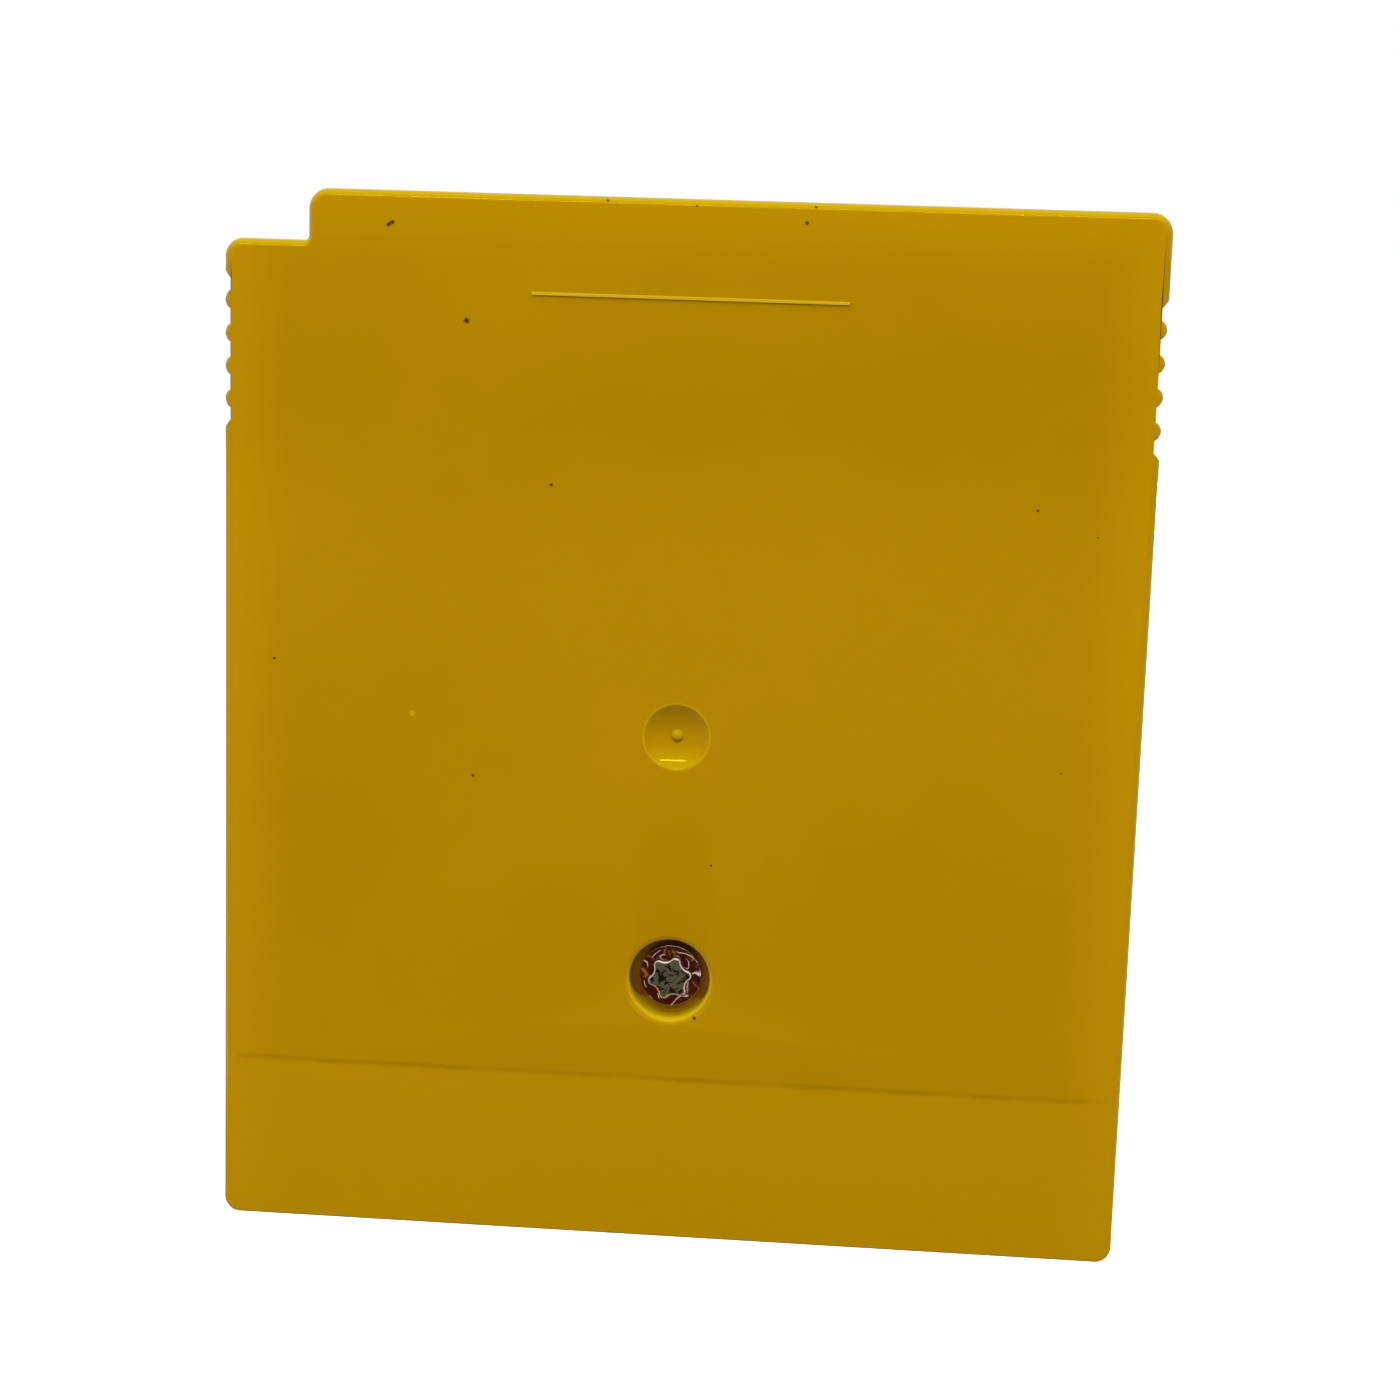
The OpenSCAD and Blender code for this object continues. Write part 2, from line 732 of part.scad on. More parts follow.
// Six round lobes, and round valleys that run into them in one smooth wave
lobe_r = 0.4;
lobe_ring = drive_d / 2 - lobe_r;
valley_out = 0.25;
valley_ring = drive_d / 2 + valley_out;
valley_bite = 0.01;
valley_r = norm([lobe_ring - valley_ring * cos(180 / drive_lobes),
  valley_ring * sin(180 / drive_lobes)]) - lobe_r + valley_bite;
module lobed_section() {
  step = 360 / drive_lobes;
  difference() {
    union() {
      circle(drive_d / 2 - lobe_r / 2);
      for (i = [0 : drive_lobes - 1])
        rotate(i * step + drive_turn) translate([lobe_ring, 0]) circle(lobe_r);
    }
    for (i = [0 : drive_lobes - 1])
      rotate((i + 0.5) * step + drive_turn) translate([valley_ring, 0]) circle(valley_r);
  }
}
drive_turn = 11;

// Circuit board with its contact fingers

module circuit_board() color(board_colour) {
  difference() {
    slab(y_board_back, y_board)
      polygon([
        [-board_w / 2 + board_corner, mouth_depth], [board_w / 2 - board_corner, mouth_depth],
        [board_w / 2, mouth_depth + board_corner], [board_w / 2, board_top_z],
        [-board_w / 2, board_top_z], [-board_w / 2, mouth_depth + board_corner]]);
    pin(0, screw_z, post_d + 2 * post_gap, y_board_back - over, y_board + over);
  }
}

module edge_contacts() color(gold_colour) {
  first = -(contact_count - 1) * contact_pitch / 2;
  for (i = [0 : contact_count - 1])
    translate([first + i * contact_pitch - contact_w / 2, y_board, mouth_depth + contact_edge])
      cube([contact_w, contact_t, contact_len]);
}
contact_edge = 0.3;

// Chips: a moulded body with a draft above and below the lead line

// Places what is drawn at the origin on the component side of the board
module on_board(pos, turn = 0) {
  translate([pos[0], y_board, pos[1]]) rotate([0, turn, 0]) children();
}

module chip_body(size, thickness) {
  w = size[0] / 2;
  h = size[1] / 2;
  low = standoff;
  high = thickness;
  mid = (low + high) / 2;
  difference() {
    intersection() {
      translate([0, 0, -h]) linear_extrude(2 * h)
        polygon([
          [-w + chip_draft, low], [w - chip_draft, low], [w, mid],
          [w - chip_draft, high], [-w + chip_draft, high], [-w, mid]]);
      translate([-w, 0, 0]) rotate([90, 0, 90]) linear_extrude(2 * w)
        polygon([
          [low, -h + chip_draft], [mid, -h], [high, -h + chip_draft],
          [high, h - chip_draft], [mid, h], [low, h - chip_draft]]);
    }
    translate([w - pin_mark_inset, high - pin_mark_depth, h - pin_mark_inset])
      rotate([-90, 0, 0]) cylinder(h = over, d = pin_mark_d);
  }
}

// One row of gull-wing leads along +X of a chip, from its side face to the board
module lead_row(count, pitch, width, half_body, thickness) {
  h = (standoff + thickness) / 2;
  for (i = [0 : count - 1])
    translate([half_body, 0, (i - (count - 1) / 2) * pitch - width / 2])
      linear_extrude(width)
        polygon([
          [0, h - lead_t / 2], [0, h + lead_t / 2], [lead_out + lead_t, h + lead_t / 2],
          [lead_foot_start + lead_t, lead_t], [lead_reach, lead_t], [lead_reach, 0],
          [lead_foot_start, 0], [lead_out, h - lead_t / 2]]);
}

module program_chip() color(chip_colour)
  on_board(program_pos) chip_body(program_size, long_chip_t);
module program_chip_leads() color(tin_colour)
  on_board(program_pos) both_sides()
    lead_row(program_leads_a_side, long_pitch, long_lead_w, program_size[0] / 2, long_chip_t);

module save_memory_chip() color(chip_colour)
  on_board(memory_pos, memory_turn) chip_body(memory_size, long_chip_t);
module save_memory_leads() color(tin_colour)
  on_board(memory_pos, memory_turn) both_sides()
    lead_row(memory_leads_a_side, long_pitch, long_lead_w, memory_size[0] / 2, long_chip_t);
memory_turn = 90;

module bank_chip() color(chip_colour)
  on_board(bank_pos) chip_body([bank_w, bank_w], bank_t);
module bank_chip_leads() color(tin_colour)
  for (quarter = [0 : 3])
    on_board(bank_pos, 90 * quarter)
      lead_row(bank_leads_a_side, bank_pitch, bank_lead_w, bank_w / 2, bank_t);

module supply_monitor_chip() color(chip_colour)
  on_board(monitor_pos) chip_body(monitor_size, monitor_t);
module supply_monitor_leads() color(tin_colour)
  on_board(monitor_pos) both_sides()
    lead_row(monitor_leads_a_side, monitor_size[1] / monitor_leads_a_side, long_lead_w,
      monitor_size[0] / 2, monitor_t);

// Backup cell: can, gasket and cap, with a welded tab on each face

y_cell = y_board + tab_t;
cap_inset = 1;
gasket_w = 0.35;
can_lip = 0.2;
can_edge_r = 0.3;

// Places a profile of radius and height above the tab at the cell's middle
module cell_turned() {
  translate([cell_pos[0], y_cell, cell_pos[1]]) rotate([-90, 0, 0]) rotate_extrude() children();
}

// The can faces the front, the cap faces the board
module cell_can() color(tin_colour) cell_turned() difference() {
  square([cell_d / 2, cell_t]);
  square([cell_d / 2 - cap_inset + gasket_w, cap_h]);
  translate([cell_d / 2 - can_edge_r, cell_t - can_edge_r]) difference() {
    square(can_edge_r + over);
    circle(can_edge_r);
  }
}
module cell_gasket() color(gasket_colour) cell_turned()
  translate([cell_d / 2 - cap_inset, can_lip]) square([gasket_w, cap_h - can_lip]);
module cell_cap() color(steel_colour) cell_turned()
  square([cell_d / 2 - cap_inset, cap_h]);
cap_h = 0.5;

// Tab over the front of the can, stepped down to the board above the cell
module cell_tab_positive() color(tin_colour) {
  z_edge = cell_pos[1] + cell_d / 2;
  y_top = y_cell + cell_t;
  translate([cell_pos[0] - tab_w / 2, 0, 0]) rotate([90, 0, 90]) linear_extrude(tab_w)
    polygon([
      [y_top, cell_pos[1] - cell_d / 4], [y_top + tab_t, cell_pos[1] - cell_d / 4],
      [y_top + tab_t, z_edge + tab_bend + tab_t], [y_board + tab_t, z_edge + tab_bend + tab_t],
      [y_board + tab_t, z_edge + tab_foot], [y_board, z_edge + tab_foot],
      [y_board, z_edge + tab_bend], [y_top, z_edge + tab_bend]]);
}
tab_bend = 0.5;

// Tab between the cap and the board, reaching out below the cell
module cell_tab_negative() color(tin_colour)
  translate([cell_pos[0] - tab_w / 2, y_board, cell_pos[1] - cell_d / 2 - tab_foot])
    cube([tab_w, tab_t, cell_d * 3 / 4 + tab_foot]);

// Solder on the feet of both tabs
module tab_solder_joints() color(tin_colour)
  for (z = [cell_pos[1] + cell_d / 2 + tab_foot - solder_inset,
            cell_pos[1] - cell_d / 2 - tab_foot + solder_inset])
    for (side = [-1, 1])
      translate([cell_pos[0] + side * tab_w / 4, y_board + tab_t, z])
        rotate([-90, 0, 0]) solder_dome();
solder_inset = 0.9;
solder_r = 0.65;
solder_h = 0.4;

module solder_dome() {
  ball_r = (solder_r * solder_r + solder_h * solder_h) / (2 * solder_h);
  intersection() {
    translate([0, 0, solder_h - ball_r]) sphere(ball_r);
    cylinder(h = solder_h + over, r = solder_r + over);
  }
}

// Small capacitors and resistors: a body between two plated ends

module part_bodies(places, h)
  for (p = places)
    translate([p[0] - chip_part_len / 2 + end_cap_len, y_board, p[1] - chip_part_w / 2])
      cube([chip_part_len - 2 * end_cap_len, h, chip_part_w]);

module part_ends(places, h)
  for (p = places)
    for (x = [-chip_part_len / 2, chip_part_len / 2 - end_cap_len])
      translate([p[0] + x, y_board, p[1] - chip_part_w / 2])
        cube([end_cap_len, h, chip_part_w]);

module capacitor_bodies() color(ceramic_colour) part_bodies(capacitor_places, capacitor_h);
module capacitor_end_caps() color(tin_colour) part_ends(capacitor_places, capacitor_h);
module resistor_bodies() color(chip_colour) part_bodies(resistor_places, resistor_h);
module resistor_end_caps() color(tin_colour) part_ends(resistor_places, resistor_h);

rear_shell();
front_shell();
case_screw();
circuit_board();
edge_contacts();
program_chip();
program_chip_leads();
save_memory_chip();
save_memory_leads();
bank_chip();
bank_chip_leads();
supply_monitor_chip();
supply_monitor_leads();
cell_can();
cell_gasket();
cell_cap();
cell_tab_positive();
cell_tab_negative();
tab_solder_joints();
capacitor_bodies();
capacitor_end_caps();
resistor_bodies();
resistor_end_caps();
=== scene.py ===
# %% [markdown]
# # A moulded game cartridge, seen from behind
#
# The real object is a flat case of two ABS shells, held by one security screw at the bottom and
# two hooks at the top, around a small circuit board with a backup cell. The picture looks at the
# plain rear shell, so most of the work is in one plastic: its colour, its soft edges, the dished
# gate mark, the deep screw hole and the small marks of long use.
#
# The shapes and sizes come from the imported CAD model. Blender adds what CAD leaves out: the small
# radius that every moulded edge has, the thread of the screw, and the finish of each material.
# Lengths are written in millimetres and turned to metres by MM.

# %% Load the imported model
import json
import math

import bmesh
import bpy
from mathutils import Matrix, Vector

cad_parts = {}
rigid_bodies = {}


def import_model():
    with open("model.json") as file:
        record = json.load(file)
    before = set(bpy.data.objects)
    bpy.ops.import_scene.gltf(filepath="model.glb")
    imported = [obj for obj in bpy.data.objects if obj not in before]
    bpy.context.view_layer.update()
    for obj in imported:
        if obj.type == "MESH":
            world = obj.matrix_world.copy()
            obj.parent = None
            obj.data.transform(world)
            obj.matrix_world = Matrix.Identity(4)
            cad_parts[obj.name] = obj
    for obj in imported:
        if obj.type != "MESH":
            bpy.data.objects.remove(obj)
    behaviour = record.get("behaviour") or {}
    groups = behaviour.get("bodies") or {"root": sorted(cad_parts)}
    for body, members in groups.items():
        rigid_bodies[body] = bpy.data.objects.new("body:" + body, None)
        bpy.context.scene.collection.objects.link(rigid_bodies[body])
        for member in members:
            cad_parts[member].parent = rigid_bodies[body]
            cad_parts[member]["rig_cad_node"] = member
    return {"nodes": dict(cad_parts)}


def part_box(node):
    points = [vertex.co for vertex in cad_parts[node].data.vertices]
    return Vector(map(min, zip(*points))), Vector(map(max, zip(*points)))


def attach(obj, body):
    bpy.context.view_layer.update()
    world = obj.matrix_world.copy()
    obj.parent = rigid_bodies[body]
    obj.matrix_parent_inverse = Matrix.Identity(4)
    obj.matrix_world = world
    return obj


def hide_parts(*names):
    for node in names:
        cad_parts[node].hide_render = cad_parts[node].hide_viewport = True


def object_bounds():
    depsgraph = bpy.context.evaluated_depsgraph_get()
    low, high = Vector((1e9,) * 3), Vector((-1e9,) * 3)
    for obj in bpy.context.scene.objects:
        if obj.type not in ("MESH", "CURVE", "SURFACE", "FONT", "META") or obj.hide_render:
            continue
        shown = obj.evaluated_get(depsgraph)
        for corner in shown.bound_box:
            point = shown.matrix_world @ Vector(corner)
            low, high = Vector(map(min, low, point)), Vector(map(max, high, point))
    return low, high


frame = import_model()
cad_low, cad_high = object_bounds()
MM = 0.001
print("CAD nodes:", len(frame["nodes"]), "size in mm:", [round(v / MM, 2) for v in cad_high - cad_low])

# %% [markdown]
# ## The places that the looks need
#
# A few places are needed again and again: the rear face, the middle of the screw, of the dimple
# and of the raised rule, and the line of the crease. Where a CAD box gives one it is read off
# there, so that it stays true. The others were measured on the rear face.

# %% Places, in millimetres
screw_low, screw_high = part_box("case_screw")
SCREW_Z = (screw_low.z + screw_high.z) / 2 / MM
CASE_HALF_WIDTH = cad_high.x / MM
CASE_HEIGHT = cad_high.z / MM
REAR_Y = -round(cad_high.y / MM, 2)
RULE_Z = CASE_HEIGHT - 5.9
DIMPLE_Z = 32.6
CREASE_Z = 10.65
HOLE_RADIUS = 2.5
GATE_RADIUS = 0.5
DISH_RADIUS = 2.1
print("rear face at y", REAR_Y, "screw at z", round(SCREW_Z, 2), "rule at z", round(RULE_Z, 2), "mm")

# %% [markdown]
# ## Camera
#
# The picture was taken from a little above and to the right of the middle, about 168 mm away.
# Place, turn and lens come from a fit of the rear face's outline, a plane of known size, to its
# outline in the picture. A long lens at arm's length would look much alike, but the slight lean
# of the upright edges would be lost, so the fitted distance is kept.

# %% Camera
CAMERA_PLACE = Vector((12.553, -156.019, 60.527)) * MM
CAMERA_TURN = [math.radians(angle) for angle in (80.4942, -1.8284, 4.5067)]
bpy.ops.object.camera_add(location=CAMERA_PLACE, rotation=CAMERA_TURN)
camera = bpy.context.object
camera.name = "camera"
camera.data.sensor_width = 36
camera.data.lens = 64.518
camera.data.clip_start = 0.01
camera.data.clip_end = 20
bpy.context.scene.camera = camera
bpy.context.scene.view_settings.view_transform = "Standard"
print("camera is", round(CAMERA_PLACE.length / MM), "mm from the origin")

# %% [markdown]
# ## Colours and nodes
#
# Colours are written as the hex values that a painter or a screen uses, and one function turns
# them into the linear values that a shader expects. One small function adds a node, sets its
# properties and fills its inputs: an input that is given a socket is linked to it, and any other
# value is typed in. A third starts a material: one Principled shader with its constant values,
# and the place on the object in millimetres, from which every pattern is measured.

# %% Colour, node and material helpers
def linear(hex_colour):
    """The linear colour of an sRGB hex value."""
    channels = [int(hex_colour[i:i + 2], 16) / 255 for i in (1, 3, 5)]
    return [c / 12.92 if c <= 0.04045 else ((c + 0.055) / 1.055) ** 2.4 for c in channels] + [1.0]


def add_node(tree, kind, inputs=None, **settings):
    """Adds a node with its settings, then types in or links each input by name or number."""
    node = tree.nodes.new("ShaderNode" + kind)
    for name, value in settings.items():
        setattr(node, name, value)
    for name, value in (inputs or {}).items():
        if isinstance(value, bpy.types.NodeSocket):
            tree.links.new(value, node.inputs[name])
        else:
            node.inputs[name].default_value = value
    return node


def start_material(name, **constants):
    """A material with one Principled shader, its constant values, and places in millimetres."""
    material = bpy.data.materials.new(name)
    material.use_nodes = True
    tree = material.node_tree
    tree.nodes.clear()
    shader_inputs = {key.replace("_", " "): value for key, value in constants.items()}
    shader = add_node(tree, "BsdfPrincipled", shader_inputs)
    add_node(tree, "OutputMaterial", {"Surface": shader.outputs["BSDF"]})
    place = add_node(tree, "TexCoord").outputs["Object"]
    spot = add_node(tree, "VectorMath", {0: place, "Scale": 1 / MM}, operation="SCALE").outputs[0]
    return material, tree, shader, spot


print("the face's yellow in linear light:", [round(c, 3) for c in linear("#B08400")[:3]])

# %% [markdown]
# ## White surroundings
#
# The picture has a pure white ground and light from all sides, strongest from above: the top edge
# is clearly brighter than the face. A studio does this with a white sweep and a large softbox
# overhead. Turning up the lamps until the ground is white would bleach the plastic, so the world
# shows white to the camera, in reflections and through glass, and lights the object at a plain
# level.

# %% World
WORLD_LIGHT = 0.44
world = bpy.data.worlds.new("white studio")
bpy.context.scene.world = world
world.use_nodes = True
sky = world.node_tree
sky.nodes.clear()
rays = add_node(sky, "LightPath").outputs
seen = add_node(sky, "Math", {0: rays["Is Camera Ray"], 1: rays["Is Transmission Ray"]}, operation="MAXIMUM")
seen_or_mirrored = add_node(sky, "Math", {0: seen.outputs[0], 1: rays["Is Glossy Ray"]}, operation="MAXIMUM")
level = add_node(sky, "MapRange", {"Value": seen_or_mirrored.outputs[0], "To Min": WORLD_LIGHT, "To Max": 1.0})
ground = add_node(sky, "Background", {"Color": (1, 1, 1, 1), "Strength": level.outputs[0]})
add_node(sky, "OutputWorld", {"Surface": ground.outputs[0]})
print("world light for surfaces:", WORLD_LIGHT)

# %% [markdown]
# ## Lamps
#
# Four softboxes give the soft light: one overhead, one at each side and one behind, so that the
# hidden front is lit too. A flat, glossy face would mirror a softbox as a grey veil, so only the
# fifth lamp is mirrored: a narrow strip above the camera, which draws the thin bright line in the
# dimple and along the rounded top edge.

# %% Softboxes and strip light
AIM = Vector((0, 0, 0.03))
# Name, place in metres, width, height, power in watts, and whether the plastic mirrors it.
LAMPS = [("overhead softbox", (0.0, -0.3, 0.65), 0.5, 0.5, 3.5, False),
         ("left softbox", (-0.5, -0.06, 0.12), 0.3, 0.3, 0.35, False),
         ("right softbox", (0.5, -0.06, 0.12), 0.3, 0.3, 0.2, False),
         ("softbox behind", (0.0, 0.6, 0.22), 0.5, 0.5, 3.1, False),
         ("strip light above the camera", (0.0, -0.51, 0.35), 0.45, 0.009, 1.3, True)]
for name, place, width, height, power, mirrored in LAMPS:
    turn = (AIM - Vector(place)).to_track_quat("-Z", "Y").to_euler()
    bpy.ops.object.light_add(type="AREA", location=place, rotation=turn)
    lamp = bpy.context.object
    lamp.name = name
    lamp.data.shape = "RECTANGLE"
    lamp.data.size = width
    lamp.data.size_y = height
    lamp.data.energy = power
    lamp.visible_glossy = mirrored
    print(name, power, "W")

# %% [markdown]
# ## Floor
#
# The sweep under the object is matt white card. A curved sweep could be modelled, but with a
# white world its edge is never seen, so a wide disc is enough. Card that bounced all its light
# would light the case from below, so it bounces as a mid grey, and only the camera and the
# reflections see it white. It keeps the object's shadow.

# %% Floor
FLOOR_RADIUS = 3.0
bpy.ops.mesh.primitive_circle_add(vertices=96, radius=FLOOR_RADIUS, fill_type="NGON", location=(0, 0, 0))
floor = bpy.context.object
floor.name = "floor"
floor_white, tree, shader, spot = start_material("Matt white sweep", Roughness=0.9, Specular_IOR_Level=0.0)
rays = add_node(tree, "LightPath").outputs
seen = add_node(tree, "Math", {0: rays["Is Camera Ray"], 1: rays["Is Transmission Ray"]}, operation="MAXIMUM")
seen_or_mirrored = add_node(tree, "Math", {0: seen.outputs[0], 1: rays["Is Glossy Ray"]}, operation="MAXIMUM")
card = add_node(tree, "Mix", {"Factor": seen_or_mirrored.outputs[0], 6: linear("#808080"), 7: linear("#F4F4F4")},
                data_type="RGBA")
tree.links.new(card.outputs[2], shader.inputs["Base Color"])
glow = add_node(tree, "MapRange", {"Value": rays["Is Camera Ray"], "To Min": 0.0, "To Max": 0.6})
tree.links.new(glow.outputs[0], shader.inputs["Emission Strength"])
shader.inputs["Emission Color"].default_value = (1, 1, 1, 1)
floor.data.materials.append(floor_white)
print("floor is", 2 * FLOOR_RADIUS, "m wide")

# %% [markdown]
# ## Selecting by hand, in code
#
# Every modelling operator works on what is selected, so each step first clears the selection and
# then picks faces, edges or points by their place or their normal, as a modeller would with the
# mouse.

# %% Selection helpers
SHARP_TURN = 24


def take(piece):
    """Leaves object mode clean, with only this piece selected and active."""
    if bpy.context.object and bpy.context.object.mode == "EDIT":
        bpy.ops.object.mode_set(mode="OBJECT")
    bpy.ops.object.select_all(action="DESELECT")
    piece.select_set(True)
    bpy.context.view_layer.objects.active = piece


def choose(piece, kind, test):
    """In edit mode, selects only the verts, edges or faces that pass a test."""
    bpy.ops.mesh.select_mode(type={"verts": "VERT", "edges": "EDGE", "faces": "FACE"}[kind])
    bpy.ops.mesh.select_all(action="DESELECT")
    mesh = bmesh.from_edit_mesh(piece.data)
    chosen = [part for part in getattr(mesh, kind) if test(part)]
    for part in chosen:
        part.select_set(True)
    bmesh.update_edit_mesh(piece.data)
    return len(chosen)


def is_sharp(edge):
    """True for an outward edge between two faces that turn by more than a few degrees."""
    return len(edge.link_faces) == 2 and edge.is_convex and edge.calc_face_angle(0) > math.radians(SHARP_TURN)


def apply_all(piece):
    """Applies every modifier in order, as the Apply button does."""
    take(piece)
    for modifier in list(piece.modifiers):
        bpy.ops.object.modifier_apply(modifier=modifier.name)


print("an edge is sharp from", SHARP_TURN, "degrees")

# %% [markdown]
# ## Soft edges on exact shapes
#
# CAD gives the true outer rounding of both shells, but its small edges are razor sharp: the
# parting line, the grip ribs, the rim of the label seat. A real mould leaves about 0.05 to 0.1 mm
# there, and that thin line is what catches the light. The shells could be modelled again from a
# plane, but their sizes are already exact, so each is a copy of the CAD mesh: its loose triangles
# are merged, flat areas become single faces, and a bevel rounds the sharp edges. Only outward
# edges are rounded, because a bevel in the inner corners of the grips would cross itself.

# %% Soft copy of a CAD node
MERGE_DISTANCE = 0.0005
FLAT_TURN = 0.1
SMOOTH_TURN = 50


def soft_copy(node_name, piece_name, radius, weight, segments=2):
    """A merged copy of a CAD node whose sharp edges are rounded; weight scales the radius."""
    take(frame["nodes"][node_name])
    bpy.ops.object.duplicate()
    piece = bpy.context.object
    piece.name = piece.data.name = piece_name
    del piece["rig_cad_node"]
    bpy.ops.mesh.customdata_custom_splitnormals_clear()
    bpy.ops.object.mode_set(mode="EDIT")
    bpy.ops.mesh.select_all(action="SELECT")
    bpy.ops.mesh.remove_doubles(threshold=MERGE_DISTANCE * MM)
    bpy.ops.mesh.dissolve_limited(angle_limit=math.radians(FLAT_TURN))
    steps = sorted({weight(edge) for edge in bmesh.from_edit_mesh(piece.data).edges})
    for step in steps:
        choose(piece, "edges", lambda edge: is_sharp(edge) and weight(edge) == step)
        bpy.ops.transform.edge_bevelweight(value=step)
    bpy.ops.object.mode_set(mode="OBJECT")
    bevel = piece.modifiers.new("edge radius", "BEVEL")
    bevel.limit_method = "WEIGHT"
    bevel.width = radius * MM
    bevel.segments = segments
    bevel.use_clamp_overlap = False
    bevel.miter_outer = "MITER_ARC"
    apply_all(piece)
    bpy.ops.object.shade_smooth_by_angle(angle=math.radians(SMOOTH_TURN))
    normals = piece.modifiers.new("flat faces stay flat", "WEIGHTED_NORMAL")
    normals.keep_sharp = True
    apply_all(piece)
    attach(piece, "root")
    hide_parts(node_name)
    print(piece_name, "faces", len(piece.data.polygons))
    return piece


# %% [markdown]
# ## Both shells
#
# The two halves of the case get the same edge radius all over. Only the raised rule near the top
# is finer: it is a 0.1 mm step, and the full radius would swallow it.

# %% Both shells
SHELL_EDGE = 0.08


def shell_weight(edge):
    """The raised rule is finer than the other edges."""
    middle = (edge.verts[0].co + edge.verts[1].co) / 2 / MM
    on_rule = abs(middle.z - RULE_Z) < 0.3 and abs(middle.x) < 10 and middle.y < REAR_Y + 0.2
    return 0.3 if on_rule else 1.0


rear_case = soft_copy("rear_shell", "rear_case", SHELL_EDGE, shell_weight)
front_case = soft_copy("front_shell", "front_case", SHELL_EDGE, lambda edge: 1.0)

# %% [markdown]
# ## True normals in the dimple and on the lip of the hole
#
# Weighted normals keep flat faces flat, but they also press the shallow dish flat, and its thin
# highlight would turn into a broad blob. The dish could be cut into many more faces. It is enough
# to lend its points the exact normals of the CAD surface, which a Data Transfer modifier copies.
# The foot of the gate mark is left out, because there the normals turn too fast.

# %% Normals from the CAD surface
def keep_true_normals(piece, node_name, test):
    """Copies the exact CAD normals to the points that pass a test."""
    take(piece)
    bpy.ops.object.mode_set(mode="EDIT")
    found = choose(piece, "verts", test)
    piece.vertex_groups.new(name="true normals")
    bpy.ops.object.vertex_group_assign()
    bpy.ops.object.mode_set(mode="OBJECT")
    transfer = piece.modifiers.new("true normals", "DATA_TRANSFER")
    transfer.object = frame["nodes"][node_name]
    transfer.use_loop_data = True
    transfer.data_types_loops = {"CUSTOM_NORMAL"}
    transfer.loop_mapping = "POLYINTERP_NEAREST"
    transfer.vertex_group = "true normals"
    apply_all(piece)
    return found


def in_dish_or_lip(point):
    """True in the moulded dish and on the round lip of the screw hole."""
    place = point.co / MM
    from_gate = math.hypot(place.x, place.z - DIMPLE_Z)
    from_screw = math.hypot(place.x, place.z - SCREW_Z)
    in_dish = GATE_RADIUS < from_gate < DISH_RADIUS and REAR_Y + 0.02 < place.y < REAR_Y + 0.7
    on_lip = HOLE_RADIUS - 0.02 < from_screw < HOLE_RADIUS + 0.45 and place.y < REAR_Y + 0.45
    return in_dish or on_lip


print("points with true normals:", keep_true_normals(rear_case, "rear_shell", in_dish_or_lip))

# %% [markdown]
# ## Moulded ABS, yellow
#
# The case is ABS, moulded in a polished steel mould and dyed right through. To the eye that is a
# deep, warm yellow with a satin gloss, whose reflections are a little yellow too. Long handling
# leaves it cloudy and a little lighter along the outer edges, where it is rubbed. The colour also
# carries painted light and shade: paler slopes and edges that face the lamps, painted highlights on
# the lip of the hole, the rule and the rim of the dish, and painted shade in the crease and the hole.
#
# A painted picture could show all that, but it would fit one view only. The material is built in
# layers instead, one per cell, and each is measured from a real place. It starts with two close
# yellows, mixed by a noise about as wide as a thumb.

# %% Case plastic
FACE_YELLOW = "#B08400"
DEEP_YELLOW = "#AB7F00"
CLOUD_SIZE = 22
REAR_DEPTH = 0.9
case_plastic, tree, shader, spot = start_material("Moulded ABS yellow", IOR=1.5, Specular_IOR_Level=0.35,
                                                  Specular_Tint=linear("#FFC830"))
clouds = add_node(tree, "TexNoise", {"Vector": spot, "Scale": 1 / CLOUD_SIZE, "Detail": 3.0, "Roughness": 0.55})
cloud_range = add_node(tree, "MapRange", {"Value": clouds.outputs["Fac"], "From Min": 0.35, "From Max": 0.65})
yellow = add_node(tree, "Mix", {"Factor": cloud_range.outputs[0], 6: linear(FACE_YELLOW), 7: linear(DEEP_YELLOW)},
                  data_type="RGBA")
x, y, z = add_node(tree, "SeparateXYZ", {0: spot}).outputs
# The marks of the rear face reach this deep, so that they stay off the front.
rear_side = add_node(tree, "Math", {0: y, 1: REAR_Y + REAR_DEPTH}, operation="LESS_THAN")
print("clouds of", CLOUD_SIZE, "mm between", FACE_YELLOW, "and", DEEP_YELLOW)

# %% [markdown]
# ## Paler towards the outline
#
# The outer few millimetres of the case are paler: partly wear, as fingers and pockets rub them most,
# and partly painted light, as the rounded edges catch more light from above and the sides. Painting
# a border would need a map of the shape. Here the distance to the nearest side or to the top gives
# it, and a smooth minimum rounds the corner between the two.

# %% Pale border
EDGE_WEAR_AND_LIGHT_YELLOW = "#BC8B00"
EDGE_BAND = (0.3, 4.5)
across = add_node(tree, "Math", {0: x}, operation="ABSOLUTE")
from_side = add_node(tree, "Math", {0: CASE_HALF_WIDTH, 1: across.outputs[0]}, operation="SUBTRACT")
from_top = add_node(tree, "Math", {0: CASE_HEIGHT, 1: z}, operation="SUBTRACT")
from_edge = add_node(tree, "Math", {0: from_side.outputs[0], 1: from_top.outputs[0], 2: 2.0},
                     operation="SMOOTH_MIN")
# Painted light and wear: paler towards the outline.
edge_wear_and_light = add_node(tree, "MapRange", {"Value": from_edge.outputs[0], "From Min": EDGE_BAND[0],
                                        "From Max": EDGE_BAND[1], "To Min": 0.7, "To Max": 0.0},
                     interpolation_type="SMOOTHSTEP")
paler_worn_and_lit = add_node(tree, "Mix", {"Factor": edge_wear_and_light.outputs[0], 6: yellow.outputs[2], 7: linear(EDGE_WEAR_AND_LIGHT_YELLOW)},
                 data_type="RGBA")
print("pale border ends", EDGE_BAND[1], "mm from the outline")
